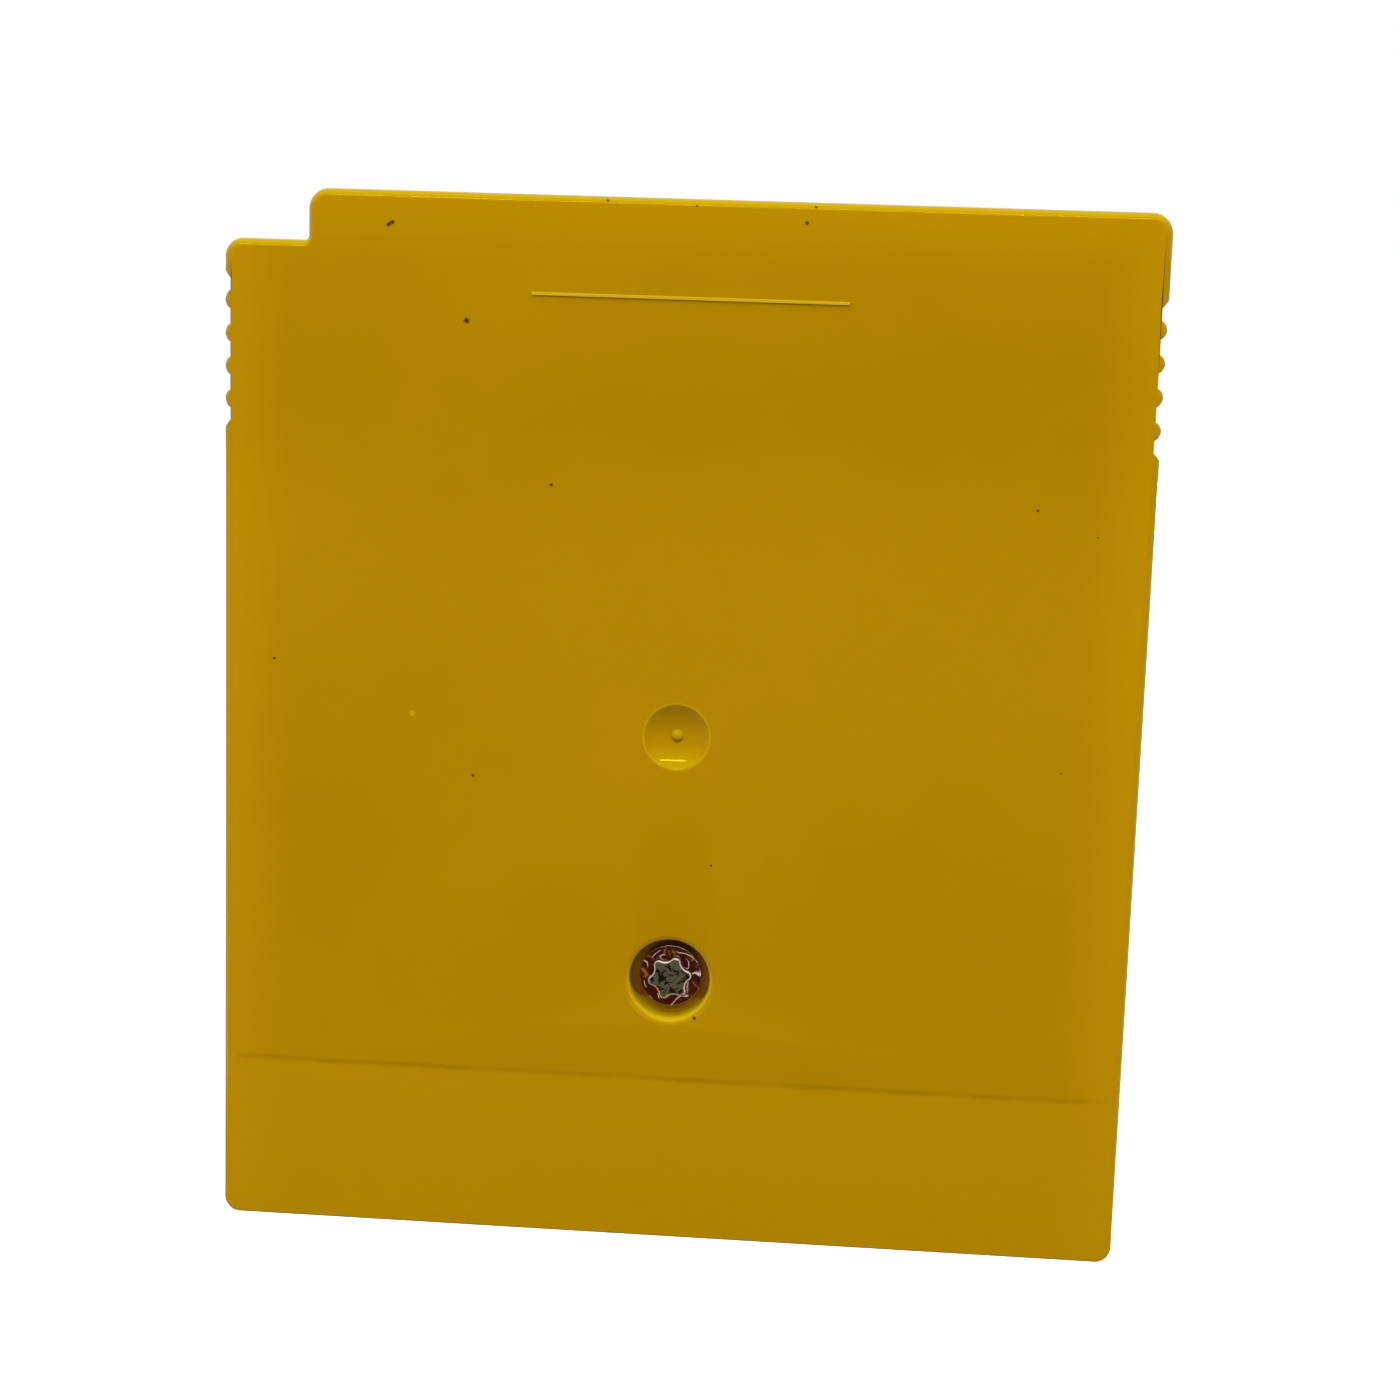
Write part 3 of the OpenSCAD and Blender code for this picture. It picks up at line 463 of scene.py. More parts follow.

# %% [markdown]
# ## Painted light and shade on the slopes
#
# Wherever the surface turns up or sideways, as on the grips, the rounded edges and the lower half
# of the dish, it is painted a paler, greener yellow: painted light, as these slopes face the lamps.
# Where it turns down it is painted a darker yellow: painted shade. The direction of the surface,
# read from its own normal, tells them apart, so no edge has to be picked by hand. The large flat
# sides are spared, and the small dome of the gate mark is painted lit all over.

# %% Painted light and shade on the slopes
LIT_SLOPE_YELLOW = "#B69A00"
SHADED_YELLOW = "#A67800"
slope = add_node(tree, "TexCoord").outputs["Normal"]
slope_x, slope_y, slope_z = add_node(tree, "SeparateXYZ", {0: slope}).outputs
sideways = add_node(tree, "Math", {0: slope_x}, operation="ABSOLUTE")
steep_side = add_node(tree, "Math", {0: sideways.outputs[0], 1: 0.35}, operation="SUBTRACT")
outward = add_node(tree, "Math", {0: slope_z, 1: steep_side.outputs[0]}, operation="MAXIMUM")
# Painted light: slopes that face up or sideways, and the gate dome, get a paler yellow.
lit_slope = add_node(tree, "MapRange", {"Value": outward.outputs[0], "From Min": 0.08, "From Max": 0.5,
                                     "To Min": 0.0, "To Max": 0.85}, interpolation_type="SMOOTHSTEP")
off_flat_side = add_node(tree, "MapRange", {"Value": sideways.outputs[0], "From Min": 0.96, "From Max": 1.0,
                                            "To Min": 1.0, "To Max": 0.35})
lit_slope_edge = add_node(tree, "Math", {0: lit_slope.outputs[0], 1: off_flat_side.outputs[0]}, operation="MULTIPLY")
off_gate = add_node(tree, "VectorMath", {0: spot, 1: (0, REAR_Y, DIMPLE_Z)}, operation="DISTANCE")
on_gate = add_node(tree, "MapRange", {"Value": off_gate.outputs["Value"], "From Min": GATE_RADIUS,
                                      "From Max": GATE_RADIUS + 0.12, "To Min": 0.7, "To Max": 0.0})
lit_slope_or_gate = add_node(tree, "Math", {0: lit_slope_edge.outputs[0], 1: on_gate.outputs[0]}, operation="MAXIMUM")
lemon = add_node(tree, "Mix", {"Factor": lit_slope_or_gate.outputs[0], 6: paler_worn_and_lit.outputs[2], 7: linear(LIT_SLOPE_YELLOW)},
                 data_type="RGBA")
# Painted shade: slopes that face down get a darker yellow.
downward = add_node(tree, "MapRange", {"Value": slope_z, "From Min": -0.5, "From Max": -0.08,
                                       "To Min": 0.8, "To Max": 0.0}, interpolation_type="SMOOTHSTEP")
topped = add_node(tree, "Mix", {"Factor": downward.outputs[0], 6: lemon.outputs[2], 7: linear(SHADED_YELLOW)},
                  data_type="RGBA")
print("slopes:", LIT_SLOPE_YELLOW, "upward,", SHADED_YELLOW, "downward")

# %% [markdown]
# ## The lip of the screw hole
#
# Where the flat face turns into the hole, a thin bright ring is painted on, and below the hole a
# second, fainter one just outside it: both are painted highlights of the rounded lip. Both are drawn
# by their distance from the screw's axis: the colour is strongest at one radius and fades a tenth of
# a millimetre to both sides.

# %% Two rings round the hole
RIM_HIGHLIGHT_YELLOW = "#C8A010"
LIP_RADIUS = HOLE_RADIUS + 0.14
RING_RADIUS = HOLE_RADIUS + 0.38
from_screw = add_node(tree, "VectorMath", {0: spot, 1: (0, 0, SCREW_Z)}, operation="SUBTRACT")
flat_from_screw = add_node(tree, "VectorMath", {0: from_screw.outputs[0], 1: (1, 0, 1)}, operation="MULTIPLY")
off_axis = add_node(tree, "VectorMath", {0: flat_from_screw.outputs[0]}, operation="LENGTH")
off_lip = add_node(tree, "Math", {0: off_axis.outputs["Value"], 1: LIP_RADIUS}, operation="SUBTRACT")
lip_distance = add_node(tree, "Math", {0: off_lip.outputs[0]}, operation="ABSOLUTE")
# Painted highlight: bright rings on the lip of the hole.
lip = add_node(tree, "MapRange", {"Value": lip_distance.outputs[0], "From Min": 0.03, "From Max": 0.12,
                                  "To Min": 0.7, "To Max": 0.0}, interpolation_type="SMOOTHSTEP")
off_ring = add_node(tree, "Math", {0: off_axis.outputs["Value"], 1: RING_RADIUS}, operation="SUBTRACT")
ring_distance = add_node(tree, "Math", {0: off_ring.outputs[0]}, operation="ABSOLUTE")
outer_ring = add_node(tree, "MapRange", {"Value": ring_distance.outputs[0], "From Min": 0.02, "From Max": 0.13,
                                         "To Min": 0.5, "To Max": 0.0}, interpolation_type="SMOOTHSTEP")
lower_half = add_node(tree, "MapRange", {"Value": z, "From Min": SCREW_Z - 2.4, "From Max": SCREW_Z - 0.4,
                                         "To Min": 1.0, "To Max": 0.0}, interpolation_type="SMOOTHSTEP")
lower_ring = add_node(tree, "Math", {0: outer_ring.outputs[0], 1: lower_half.outputs[0]}, operation="MULTIPLY")
both_rings = add_node(tree, "Math", {0: lip.outputs[0], 1: lower_ring.outputs[0]}, operation="MAXIMUM")
rear_lip = add_node(tree, "Math", {0: both_rings.outputs[0], 1: rear_side.outputs[0]}, operation="MULTIPLY")
lipped = add_node(tree, "Mix", {"Factor": rear_lip.outputs[0], 6: topped.outputs[2], 7: linear(RIM_HIGHLIGHT_YELLOW)},
                  data_type="RGBA")
print("rings at", round(LIP_RADIUS, 2), "and", round(RING_RADIUS, 2), "mm from the axis")

# %% [markdown]
# ## The raised rule and the rim of the dimple
#
# What stands proud of the face is painted brightest, a painted highlight that also hides the shade
# on the rule's lower side, and the rule is all that does. Its height over the face is enough to find
# it. The rim of the dish gets a painted highlight ring like that of the hole, found by its distance
# from the gate mark.

# %% Rule and dish rim
RULE_HIGHLIGHT_AND_NICK_YELLOW = "#D2AA1C"
RIM_RADIUS = DISH_RADIUS - 0.03
# Painted highlight on the raised rule, and below on the rim of the dish.
proud = add_node(tree, "MapRange", {"Value": y, "From Min": REAR_Y - 0.03, "From Max": REAR_Y - 0.005,
                                    "To Min": 0.9, "To Max": 0.0})
ruled = add_node(tree, "Mix", {"Factor": proud.outputs[0], 6: lipped.outputs[2], 7: linear(RULE_HIGHLIGHT_AND_NICK_YELLOW)},
                 data_type="RGBA")
dish_edge = add_node(tree, "Math", {0: off_gate.outputs["Value"], 1: RIM_RADIUS}, operation="SUBTRACT")
dish_distance = add_node(tree, "Math", {0: dish_edge.outputs[0]}, operation="ABSOLUTE")
dish_rim_highlight = add_node(tree, "MapRange", {"Value": dish_distance.outputs[0], "From Min": 0.03, "From Max": 0.11,
                                       "To Min": 0.5, "To Max": 0.0}, interpolation_type="SMOOTHSTEP")
rimmed = add_node(tree, "Mix", {"Factor": dish_rim_highlight.outputs[0], 6: ruled.outputs[2], 7: linear(RIM_HIGHLIGHT_YELLOW)},
                  data_type="RGBA")
print("rule is", RULE_HIGHLIGHT_AND_NICK_YELLOW, "and the dish rim", RIM_HIGHLIGHT_YELLOW, "at", round(RIM_RADIUS, 2), "mm")

# %% [markdown]
# ## Painted shade in the screw hole
#
# The deep hole is painted dark as painted shade: dark red-brown at its roof, which faces down, and a
# lighter amber on its side walls. The lower wall faces up to the lamps, so it is left unshaded
# further in than the roof. So the painted shade starts at a depth that grows towards the bottom of
# the hole.

# %% Painted shade on the wall of the hole
HOLE_SHADE_BROWN = "#6A220A"
HOLE_SIDE_SHADE_AMBER = "#945E10"
UNSHADED_WALL_DEPTH = 1.75
in_hole = add_node(tree, "Math", {0: off_axis.outputs["Value"], 1: HOLE_RADIUS + 0.05}, operation="LESS_THAN")
in_rear_shell = add_node(tree, "Math", {0: y, 1: REAR_Y + 3.0}, operation="LESS_THAN")
in_bore = add_node(tree, "Math", {0: in_hole.outputs[0], 1: in_rear_shell.outputs[0]}, operation="MULTIPLY")
# Painted shade: it starts deeper in the hole on the lower wall than at the roof.
unshaded_depth = add_node(tree, "MapRange", {"Value": z, "From Min": SCREW_Z - 2.2, "From Max": SCREW_Z - 0.2,
                                    "To Min": UNSHADED_WALL_DEPTH, "To Max": 0.0}, interpolation_type="SMOOTHSTEP")
inward = add_node(tree, "Math", {0: y, 1: unshaded_depth.outputs[0]}, operation="SUBTRACT")
hole_shade = add_node(tree, "MapRange", {"Value": inward.outputs[0], "From Min": REAR_Y + 0.1,
                                        "From Max": REAR_Y + 0.55}, interpolation_type="SMOOTHSTEP")
wall_shade = add_node(tree, "Math", {0: hole_shade.outputs[0], 1: in_bore.outputs[0]}, operation="MULTIPLY")
beside = add_node(tree, "MapRange", {"Value": across.outputs[0], "From Min": 1.0, "From Max": 2.3,
                                     "To Min": 0.0, "To Max": 0.8})
hole_shade_colour = add_node(tree, "Mix", {"Factor": beside.outputs[0], 6: linear(HOLE_SHADE_BROWN), 7: linear(HOLE_SIDE_SHADE_AMBER)},
                data_type="RGBA")
hole_shaded = add_node(tree, "Mix", {"Factor": wall_shade.outputs[0], 6: rimmed.outputs[2], 7: hole_shade_colour.outputs[2]},
                 data_type="RGBA")
print("lower wall is clean", UNSHADED_WALL_DEPTH, "mm further in than the roof")

# %% [markdown]
# ## The crease and the foot below it
#
# Near the connector edge the rear face bends inward. The part below the bend is painted a little
# paler: painted light, standing for the light that the floor bounces up onto it. The bend itself gets
# painted shade, a thin, uneven dark line. A ruled line would look drawn, so a noise moves its height
# by a tenth of a millimetre, makes it stronger here and weaker there, and it stops short of the sides.

# %% Pale foot and crease line
FOOT_LIT_YELLOW = "#B88B00"
CREASE_SHADE_BROWN = "#946A00"
WANDER_SIZE = 3
wander = add_node(tree, "TexNoise", {"Vector": spot, "Scale": 1 / WANDER_SIZE, "Detail": 4.0})
wander_z = add_node(tree, "Math", {0: wander.outputs["Fac"], 1: 0.3, 2: -0.15}, operation="MULTIPLY_ADD")
crease_z = add_node(tree, "Math", {0: z, 1: wander_z.outputs[0]}, operation="ADD")
above = add_node(tree, "Math", {0: crease_z.outputs[0], 1: CREASE_Z}, operation="SUBTRACT")
# Painted light: the rear face below the crease is paler.
below = add_node(tree, "MapRange", {"Value": above.outputs[0], "From Min": -0.5, "From Max": 0.0,
                                    "To Min": 0.7, "To Max": 0.0}, interpolation_type="SMOOTHSTEP")
faces_rear = add_node(tree, "MapRange", {"Value": slope_y, "From Min": -0.98, "From Max": -0.6,
                                         "To Min": 1.0, "To Max": 0.0})
rear_foot = add_node(tree, "Math", {0: below.outputs[0], 1: faces_rear.outputs[0]}, operation="MULTIPLY")
lit_foot = add_node(tree, "Mix", {"Factor": rear_foot.outputs[0], 6: hole_shaded.outputs[2], 7: linear(FOOT_LIT_YELLOW)},
                     data_type="RGBA")
distance = add_node(tree, "Math", {0: above.outputs[0]}, operation="ABSOLUTE")
# Painted shade: a thin dark line along the crease.
line = add_node(tree, "MapRange", {"Value": distance.outputs[0], "From Min": 0.02, "From Max": 0.26,
                                   "To Min": 0.55, "To Max": 0.0}, interpolation_type="SMOOTHSTEP")
rear_crease_shade = add_node(tree, "Math", {0: line.outputs[0], 1: rear_side.outputs[0]}, operation="MULTIPLY")
patchy = add_node(tree, "MapRange", {"Value": wander.outputs["Fac"], "From Min": 0.35, "From Max": 0.65,
                                     "To Min": 0.25, "To Max": 1.0})
short_of_sides = add_node(tree, "MapRange", {"Value": from_side.outputs[0], "From Min": 0.6, "From Max": 1.6},
                          interpolation_type="SMOOTHSTEP")
line_part = add_node(tree, "Math", {0: patchy.outputs[0], 1: short_of_sides.outputs[0]}, operation="MULTIPLY")
crease_shade_here = add_node(tree, "Math", {0: rear_crease_shade.outputs[0], 1: line_part.outputs[0]}, operation="MULTIPLY")
crease_shaded = add_node(tree, "Mix", {"Factor": crease_shade_here.outputs[0], 6: lit_foot.outputs[2], 7: linear(CREASE_SHADE_BROWN)},
                   data_type="RGBA")
print("crease at", CREASE_Z, "mm, wandering every", WANDER_SIZE, "mm")

# %% [markdown]
# ## Specks and a nick
#
# A used case has a few dark specks of dirt, each a tenth of a millimetre or two, and one pale nick
# on the left. A fine noise would scatter hundreds, so each is set one by one at its place, and a
# little noise makes its round edge ragged.

# %% Specks and nick
SPECK_BROWN = "#4A1405"
# Across from the left edge, up from the bottom, and radius, in millimetres.
SPECKS = [(10.36, 63.38, 0.12), (10.2, 63.28, 0.12), (10.07, 63.2, 0.1), (14.96, 57.65, 0.17),
          (20.34, 47.89, 0.1), (35.35, 64.07, 0.12), (49.92, 47.45, 0.09), (3.23, 36.46, 0.09),
          (15.84, 29.59, 0.1), (30.15, 14.7, 0.12), (30.9, 24.56, 0.07), (23.39, 65.06, 0.12),
          (28.74, 64.87, 0.08), (35.85, 65.02, 0.1), (52.18, 31.41, 0.06), (53.59, 45.97, 0.06)]
NICK = (11.94, 33.37, 0.17)
RAGGED_SIZE = 0.2
blur = add_node(tree, "TexNoise", {"Vector": spot, "Scale": 1 / RAGGED_SIZE, "Detail": 2.0})
soften = add_node(tree, "VectorMath", {0: blur.outputs["Color"], 1: (0.12, 0, 0.12), 2: (-0.06, 0, -0.06)},
                  operation="MULTIPLY_ADD")
shaken = add_node(tree, "VectorMath", {0: spot, 1: soften.outputs[0]}, operation="ADD")


def round_mark(left, up, radius, core, reach, strength):
    """A round mark on the rear face, which fades between two shares of its radius."""
    place = (left - CASE_HALF_WIDTH, REAR_Y, up)
    off = add_node(tree, "VectorMath", {0: shaken.outputs[0], 1: place}, operation="DISTANCE")
    mark = add_node(tree, "MapRange", {"Value": off.outputs["Value"], "From Min": radius * core,
                                       "From Max": radius * reach, "To Min": strength, "To Max": 0.0})
    return mark.outputs[0]


nick = round_mark(*NICK, core=0.5, reach=1.4, strength=0.7)
speck = round_mark(*SPECKS[0], core=0.6, reach=1.3, strength=1.0)
for left, up, radius in SPECKS[1:]:
    mark = round_mark(left, up, radius, core=0.6, reach=1.3, strength=1.0)
    speck = add_node(tree, "Math", {0: speck, 1: mark}, operation="MAXIMUM").outputs[0]
nicked = add_node(tree, "Mix", {"Factor": nick, 6: crease_shaded.outputs[2], 7: linear(RULE_HIGHLIGHT_AND_NICK_YELLOW)},
                  data_type="RGBA")
specked = add_node(tree, "Mix", {"Factor": speck, 6: nicked.outputs[2], 7: linear(SPECK_BROWN)}, data_type="RGBA")
tree.links.new(specked.outputs[2], shader.inputs["Base Color"])
print("specks:", len(SPECKS), "and one nick")

# %% [markdown]
# ## Gloss
#
# The mould was polished steel, so the plastic is smooth, and handling leaves it a little uneven in
# patches of some millimetres. The dish was pressed by a polished pin and is the glossiest place.

# %% Gloss
GLOSS_SIZE = 6
DISH_FADE = (DISH_RADIUS - 0.3, DISH_RADIUS)
gloss = add_node(tree, "TexNoise", {"Vector": spot, "Scale": 1 / GLOSS_SIZE, "Detail": 5.0})
roughness = add_node(tree, "MapRange", {"Value": gloss.outputs["Fac"], "From Min": 0.3, "From Max": 0.7,
                                        "To Min": 0.07, "To Max": 0.12})
polish = add_node(tree, "MapRange", {"Value": off_gate.outputs["Value"], "From Min": DISH_FADE[0],
                                     "From Max": DISH_FADE[1], "To Min": 0.5, "To Max": 1.0})
final_gloss = add_node(tree, "Math", {0: roughness.outputs[0], 1: polish.outputs[0]}, operation="MULTIPLY")
tree.links.new(final_gloss.outputs[0], shader.inputs["Roughness"])
print("gloss varies every", GLOSS_SIZE, "mm")

# %% [markdown]
# ## Fine relief
#
# No moulded face is truly flat: it sinks and swells by a few thousandths of a millimetre as it
# cools. The dish was cut into the mould by hand, so its floor is a little wavy too. Both are far
# too shallow to model, and a bump gives them to the light.

# %% Swell and waves
SWELL_SIZE = 4
WAVE_SIZE = 0.9
RELIEF_HEIGHT = 0.05
swell = add_node(tree, "TexNoise", {"Vector": spot, "Scale": 1 / SWELL_SIZE, "Detail": 2.0})
low_swell = add_node(tree, "Math", {0: swell.outputs["Fac"], 1: 0.1}, operation="MULTIPLY")
waves = add_node(tree, "TexNoise", {"Vector": spot, "Scale": 1 / WAVE_SIZE, "Detail": 1.0})
in_dish = add_node(tree, "MapRange", {"Value": off_gate.outputs["Value"], "From Min": DISH_FADE[0],
                                      "From Max": DISH_FADE[1], "To Min": 0.03, "To Max": 0.0})
height = add_node(tree, "Math", {0: waves.outputs["Fac"], 1: in_dish.outputs[0], 2: low_swell.outputs[0]},
                  operation="MULTIPLY_ADD")
relief = add_node(tree, "Bump", {"Height": height.outputs[0], "Strength": 1.0, "Distance": RELIEF_HEIGHT * MM})
tree.links.new(relief.outputs[0], shader.inputs["Normal"])
for case in (rear_case, front_case):
    case.data.materials.clear()
    case.data.materials.append(case_plastic)
print("case plastic has", len(tree.nodes), "nodes")

# %% [markdown]
# ## Security screw
#
# The screw has a flange and a raised head of six rounded lobes, which an ordinary screwdriver
# can't turn. Its shape is exact in CAD, so it is softened as the shells are. The rim of the drive
# is well rounded, where drivers have slipped over it, the flange less, and the punch mark in the
# middle hardly.

# %% Screw head with soft edges
SCREW_EDGE = 0.24
PUNCH_RADIUS = 0.5


def screw_weight(edge):
    """Scales the radius for the punch mark, the rim of the drive and the flange."""
    middle = (edge.verts[0].co + edge.verts[1].co) / 2 / MM
    if math.hypot(middle.x, middle.z - SCREW_Z) < PUNCH_RADIUS:
        return 0.1
    return 1.0 if middle.y < REAR_Y + 0.5 else 0.3


case_screw = soft_copy("case_screw", "security_screw", SCREW_EDGE, screw_weight, segments=4)

# %% [markdown]
# ## Nickel-plated steel, tarnished
#
# The screw is hardened steel with a nickel plate that has dulled. To the eye the drive is a
# grey-olive metal with darker tarnish, and the flange is brown: its brown and amber are a painted
# reflection of the yellow plastic and the shaded walls of the hole around it. One even metal would
# look new, so two noises of about half a millimetre mix the colours: one for the drive and one for
# the flange, split by their depth in the hole.

# %% Screw steel: drive and flange
PLATE_GREY = "#4A4632"
PLATE_DARK = "#18120C"
FLANGE_REFLECTION_BROWN = "#38120A"
FLANGE_REFLECTION_AMBER = "#6E4C24"
PATCH_SIZE = 0.4
REFLECTION_PATCH_SIZE = 0.8
screw_steel, tree, shader, spot = start_material("Nickel plated steel tarnished", Metallic=1.0)
patches = add_node(tree, "TexNoise", {"Vector": spot, "Scale": 1 / PATCH_SIZE, "Detail": 4.0, "Distortion": 0.8})
patch_range = add_node(tree, "MapRange", {"Value": patches.outputs["Fac"], "From Min": 0.41, "From Max": 0.49})
drive = add_node(tree, "Mix", {"Factor": patch_range.outputs[0], 6: linear(PLATE_DARK), 7: linear(PLATE_GREY)},
                 data_type="RGBA")
# Painted reflection: brown and amber patches on the flange.
reflection_patches = add_node(tree, "TexNoise", {"Vector": spot, "Scale": 1 / REFLECTION_PATCH_SIZE, "Detail": 3.0, "Distortion": 1.5})
reflection_patch_range = add_node(tree, "MapRange", {"Value": reflection_patches.outputs["Fac"], "From Min": 0.58, "From Max": 0.66})
flange = add_node(tree, "Mix", {"Factor": reflection_patch_range.outputs[0], 6: linear(FLANGE_REFLECTION_BROWN),
                                7: linear(FLANGE_REFLECTION_AMBER)}, data_type="RGBA")
depth = add_node(tree, "SeparateXYZ", {0: spot}).outputs["Y"]
on_flange = add_node(tree, "MapRange", {"Value": depth, "From Min": REAR_Y + 0.6, "From Max": REAR_Y + 0.85})
print("patches of", PATCH_SIZE, "mm on the drive, stains of", REFLECTION_PATCH_SIZE, "mm on the flange")

# %% [markdown]
# ## Painted glints on the flange
#
# The small curved glints on the flange are painted in as thin bright curls, shaped like the marks
# of a slipping driver. Curls could be drawn as thin curves, but they have no height, so they are a
# pattern: rings round the axis, a quarter of a millimetre apart, pushed out of round by one noise and
# broken into short pieces by another.

# %% Painted glints in curls
PLATE_BRIGHT = "#D8C4BC"
RING_STEP = 0.24
PUSH_SIZE = 1.1
GAP_SIZE = 0.9
from_screw = add_node(tree, "VectorMath", {0: spot, 1: (0, 0, SCREW_Z)}, operation="SUBTRACT")
flat_from_screw = add_node(tree, "VectorMath", {0: from_screw.outputs[0], 1: (1, 0, 1)}, operation="MULTIPLY")
reach = add_node(tree, "VectorMath", {0: flat_from_screw.outputs[0]}, operation="LENGTH")
push = add_node(tree, "TexNoise", {"Vector": spot, "Scale": 1 / PUSH_SIZE, "Detail": 0.0})
pushed = add_node(tree, "Math", {0: push.outputs["Fac"], 1: 1.6, 2: reach.outputs["Value"]},
                  operation="MULTIPLY_ADD")
ring = add_node(tree, "Math", {0: pushed.outputs[0], 1: RING_STEP}, operation="PINGPONG")
thin = add_node(tree, "MapRange", {"Value": ring.outputs[0], "From Min": 0.012, "From Max": 0.045,
                                   "To Min": 0.75, "To Max": 0.0})
gaps = add_node(tree, "TexNoise", {"Vector": spot, "Scale": 1 / GAP_SIZE, "Detail": 0.0})
broken = add_node(tree, "MapRange", {"Value": gaps.outputs["Fac"], "From Min": 0.5, "From Max": 0.56})
# Painted highlight: the bright curls on the flange.
curl_glint = add_node(tree, "Math", {0: thin.outputs[0], 1: broken.outputs[0]}, operation="MULTIPLY")
glinting_curls = add_node(tree, "Mix", {"Factor": curl_glint.outputs[0], 6: flange.outputs[2], 7: linear(PLATE_BRIGHT)},
                  data_type="RGBA")
metal = add_node(tree, "Mix", {"Factor": on_flange.outputs[0], 6: drive.outputs[2], 7: glinting_curls.outputs[2]},
                 data_type="RGBA")
# The spacing of the painted glint curls.
print("scratches", RING_STEP, "mm apart")

# %% [markdown]
# ## Bare plating and painted highlight on the rim of the drive
#
# On edges and upright walls the colour is painted bright and the gloss is smoother than the rest:
# partly bare plating where the dirt is rubbed off, partly a painted highlight of the rounded rim. The
# normal finds them: it points along the axis on the flat faces and away from it on the rim. The punch
# mark in the middle is spared, since no driver reaches it.

# %% Bright rim, gloss and relief of the screw
facing = add_node(tree, "SeparateXYZ", {0: add_node(tree, "TexCoord").outputs["Normal"]}).outputs["Y"]
flat = add_node(tree, "Math", {0: facing}, operation="ABSOLUTE")
outside = add_node(tree, "MapRange", {"Value": reach.outputs["Value"], "From Min": 0.6, "From Max": 0.9})
edge_on = add_node(tree, "MapRange", {"Value": flat.outputs[0], "From Min": 0.8, "From Max": 0.97,
                                      "To Min": 0.95, "To Max": 0.0}, interpolation_type="SMOOTHSTEP")
# Worn plating and painted highlight on the rim of the drive.
worn_and_lit_rim = add_node(tree, "Math", {0: edge_on.outputs[0], 1: outside.outputs[0]}, operation="MULTIPLY")
steel = add_node(tree, "Mix", {"Factor": worn_and_lit_rim.outputs[0], 6: metal.outputs[2], 7: linear(PLATE_BRIGHT)},
                 data_type="RGBA")
tree.links.new(steel.outputs[2], shader.inputs["Base Color"])
steel_gloss = add_node(tree, "MapRange", {"Value": patches.outputs["Fac"], "From Min": 0.4, "From Max": 0.6,
                                          "To Min": 0.45, "To Max": 0.24})
worn_gloss = add_node(tree, "Mix", {"Factor": worn_and_lit_rim.outputs[0], "A": steel_gloss.outputs[0], "B": 0.22})
tree.links.new(worn_gloss.outputs[0], shader.inputs["Roughness"])
steel_relief = add_node(tree, "Bump", {"Height": patches.outputs["Fac"], "Strength": 0.6, "Distance": 0.03 * MM})
tree.links.new(steel_relief.outputs[0], shader.inputs["Normal"])
case_screw.data.materials.clear()
case_screw.data.materials.append(screw_steel)
print("screw steel has", len(tree.nodes), "nodes")

# %% [markdown]
# ## Thread of the screw
#
# The shank is plain in CAD. On the real screw it carries a thread with a sharp crest, which bites
# into the post of the front shell. It could be spun by hand, but one triangle that the Screw
# modifier sweeps round the axis, one turn per pitch, is quicker and cleaner. The triangle starts
# as a circle of three points, is squeezed to the height of the thread and moved out to the shank,
# with its root just below the shank's surface, so that no gap shows between them.

# %% Profile of the thread
ROOT_RADIUS = 1.184
CREST_RADIUS = 1.414
THREAD_FOOT = 0.5
triangle_radius = THREAD_FOOT / math.sqrt(3)
squeeze = (CREST_RADIUS - ROOT_RADIUS) / (1.5 * triangle_radius)
bpy.ops.object.select_all(action="DESELECT")
bpy.ops.mesh.primitive_circle_add(vertices=3, radius=triangle_radius * MM, location=(0, 0, 0),
                                  rotation=(0, 0, math.radians(-90)))
thread = bpy.context.object
thread.name = thread.data.name = "screw_thread"
bpy.ops.object.transform_apply(location=False, rotation=True, scale=False)
bpy.ops.object.mode_set(mode="EDIT")
bpy.ops.mesh.select_all(action="SELECT")
bpy.ops.transform.resize(value=(squeeze, 1, 1), center_override=(0, 0, 0))
bpy.ops.transform.translate(value=((CREST_RADIUS - squeeze * triangle_radius) * MM, 0, 0))
bpy.ops.object.mode_set(mode="OBJECT")
print("profile:", [[round(v / MM, 3) for v in vertex.co] for vertex in thread.data.vertices])

# %% [markdown]
# ## Winding the thread
#
# The sweep leaves both ends open and its faces in any direction. So the ends are filled, the
# normals recalculated, and the thread is moved to the end of the shank, short of its tip.

# %% Three turns of thread
THREAD_PITCH = 0.8
THREAD_TURNS = 3
BARE_TIP = 0.4
helix = thread.modifiers.new("helix", "SCREW")
helix.axis = "Y"
helix.angle = math.radians(360 * THREAD_TURNS)
helix.screw_offset = THREAD_PITCH * THREAD_TURNS * MM
helix.steps = helix.render_steps = 48 * THREAD_TURNS
apply_all(thread)
bpy.ops.object.mode_set(mode="EDIT")
bpy.ops.mesh.select_all(action="SELECT")
bpy.ops.mesh.fill_holes(sides=3)
bpy.ops.mesh.select_all(action="SELECT")
bpy.ops.mesh.normals_make_consistent(inside=False)
start = screw_high.y - (THREAD_PITCH * THREAD_TURNS + BARE_TIP) * MM
bpy.ops.transform.translate(value=(0, start, SCREW_Z * MM))
bpy.ops.object.mode_set(mode="OBJECT")
bpy.ops.object.shade_smooth_by_angle(angle=math.radians(30))
thread.data.materials.append(screw_steel)
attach(thread, "root")
print("thread faces", len(thread.data.polygons), "starts at y", round(start / MM, 2), "mm")

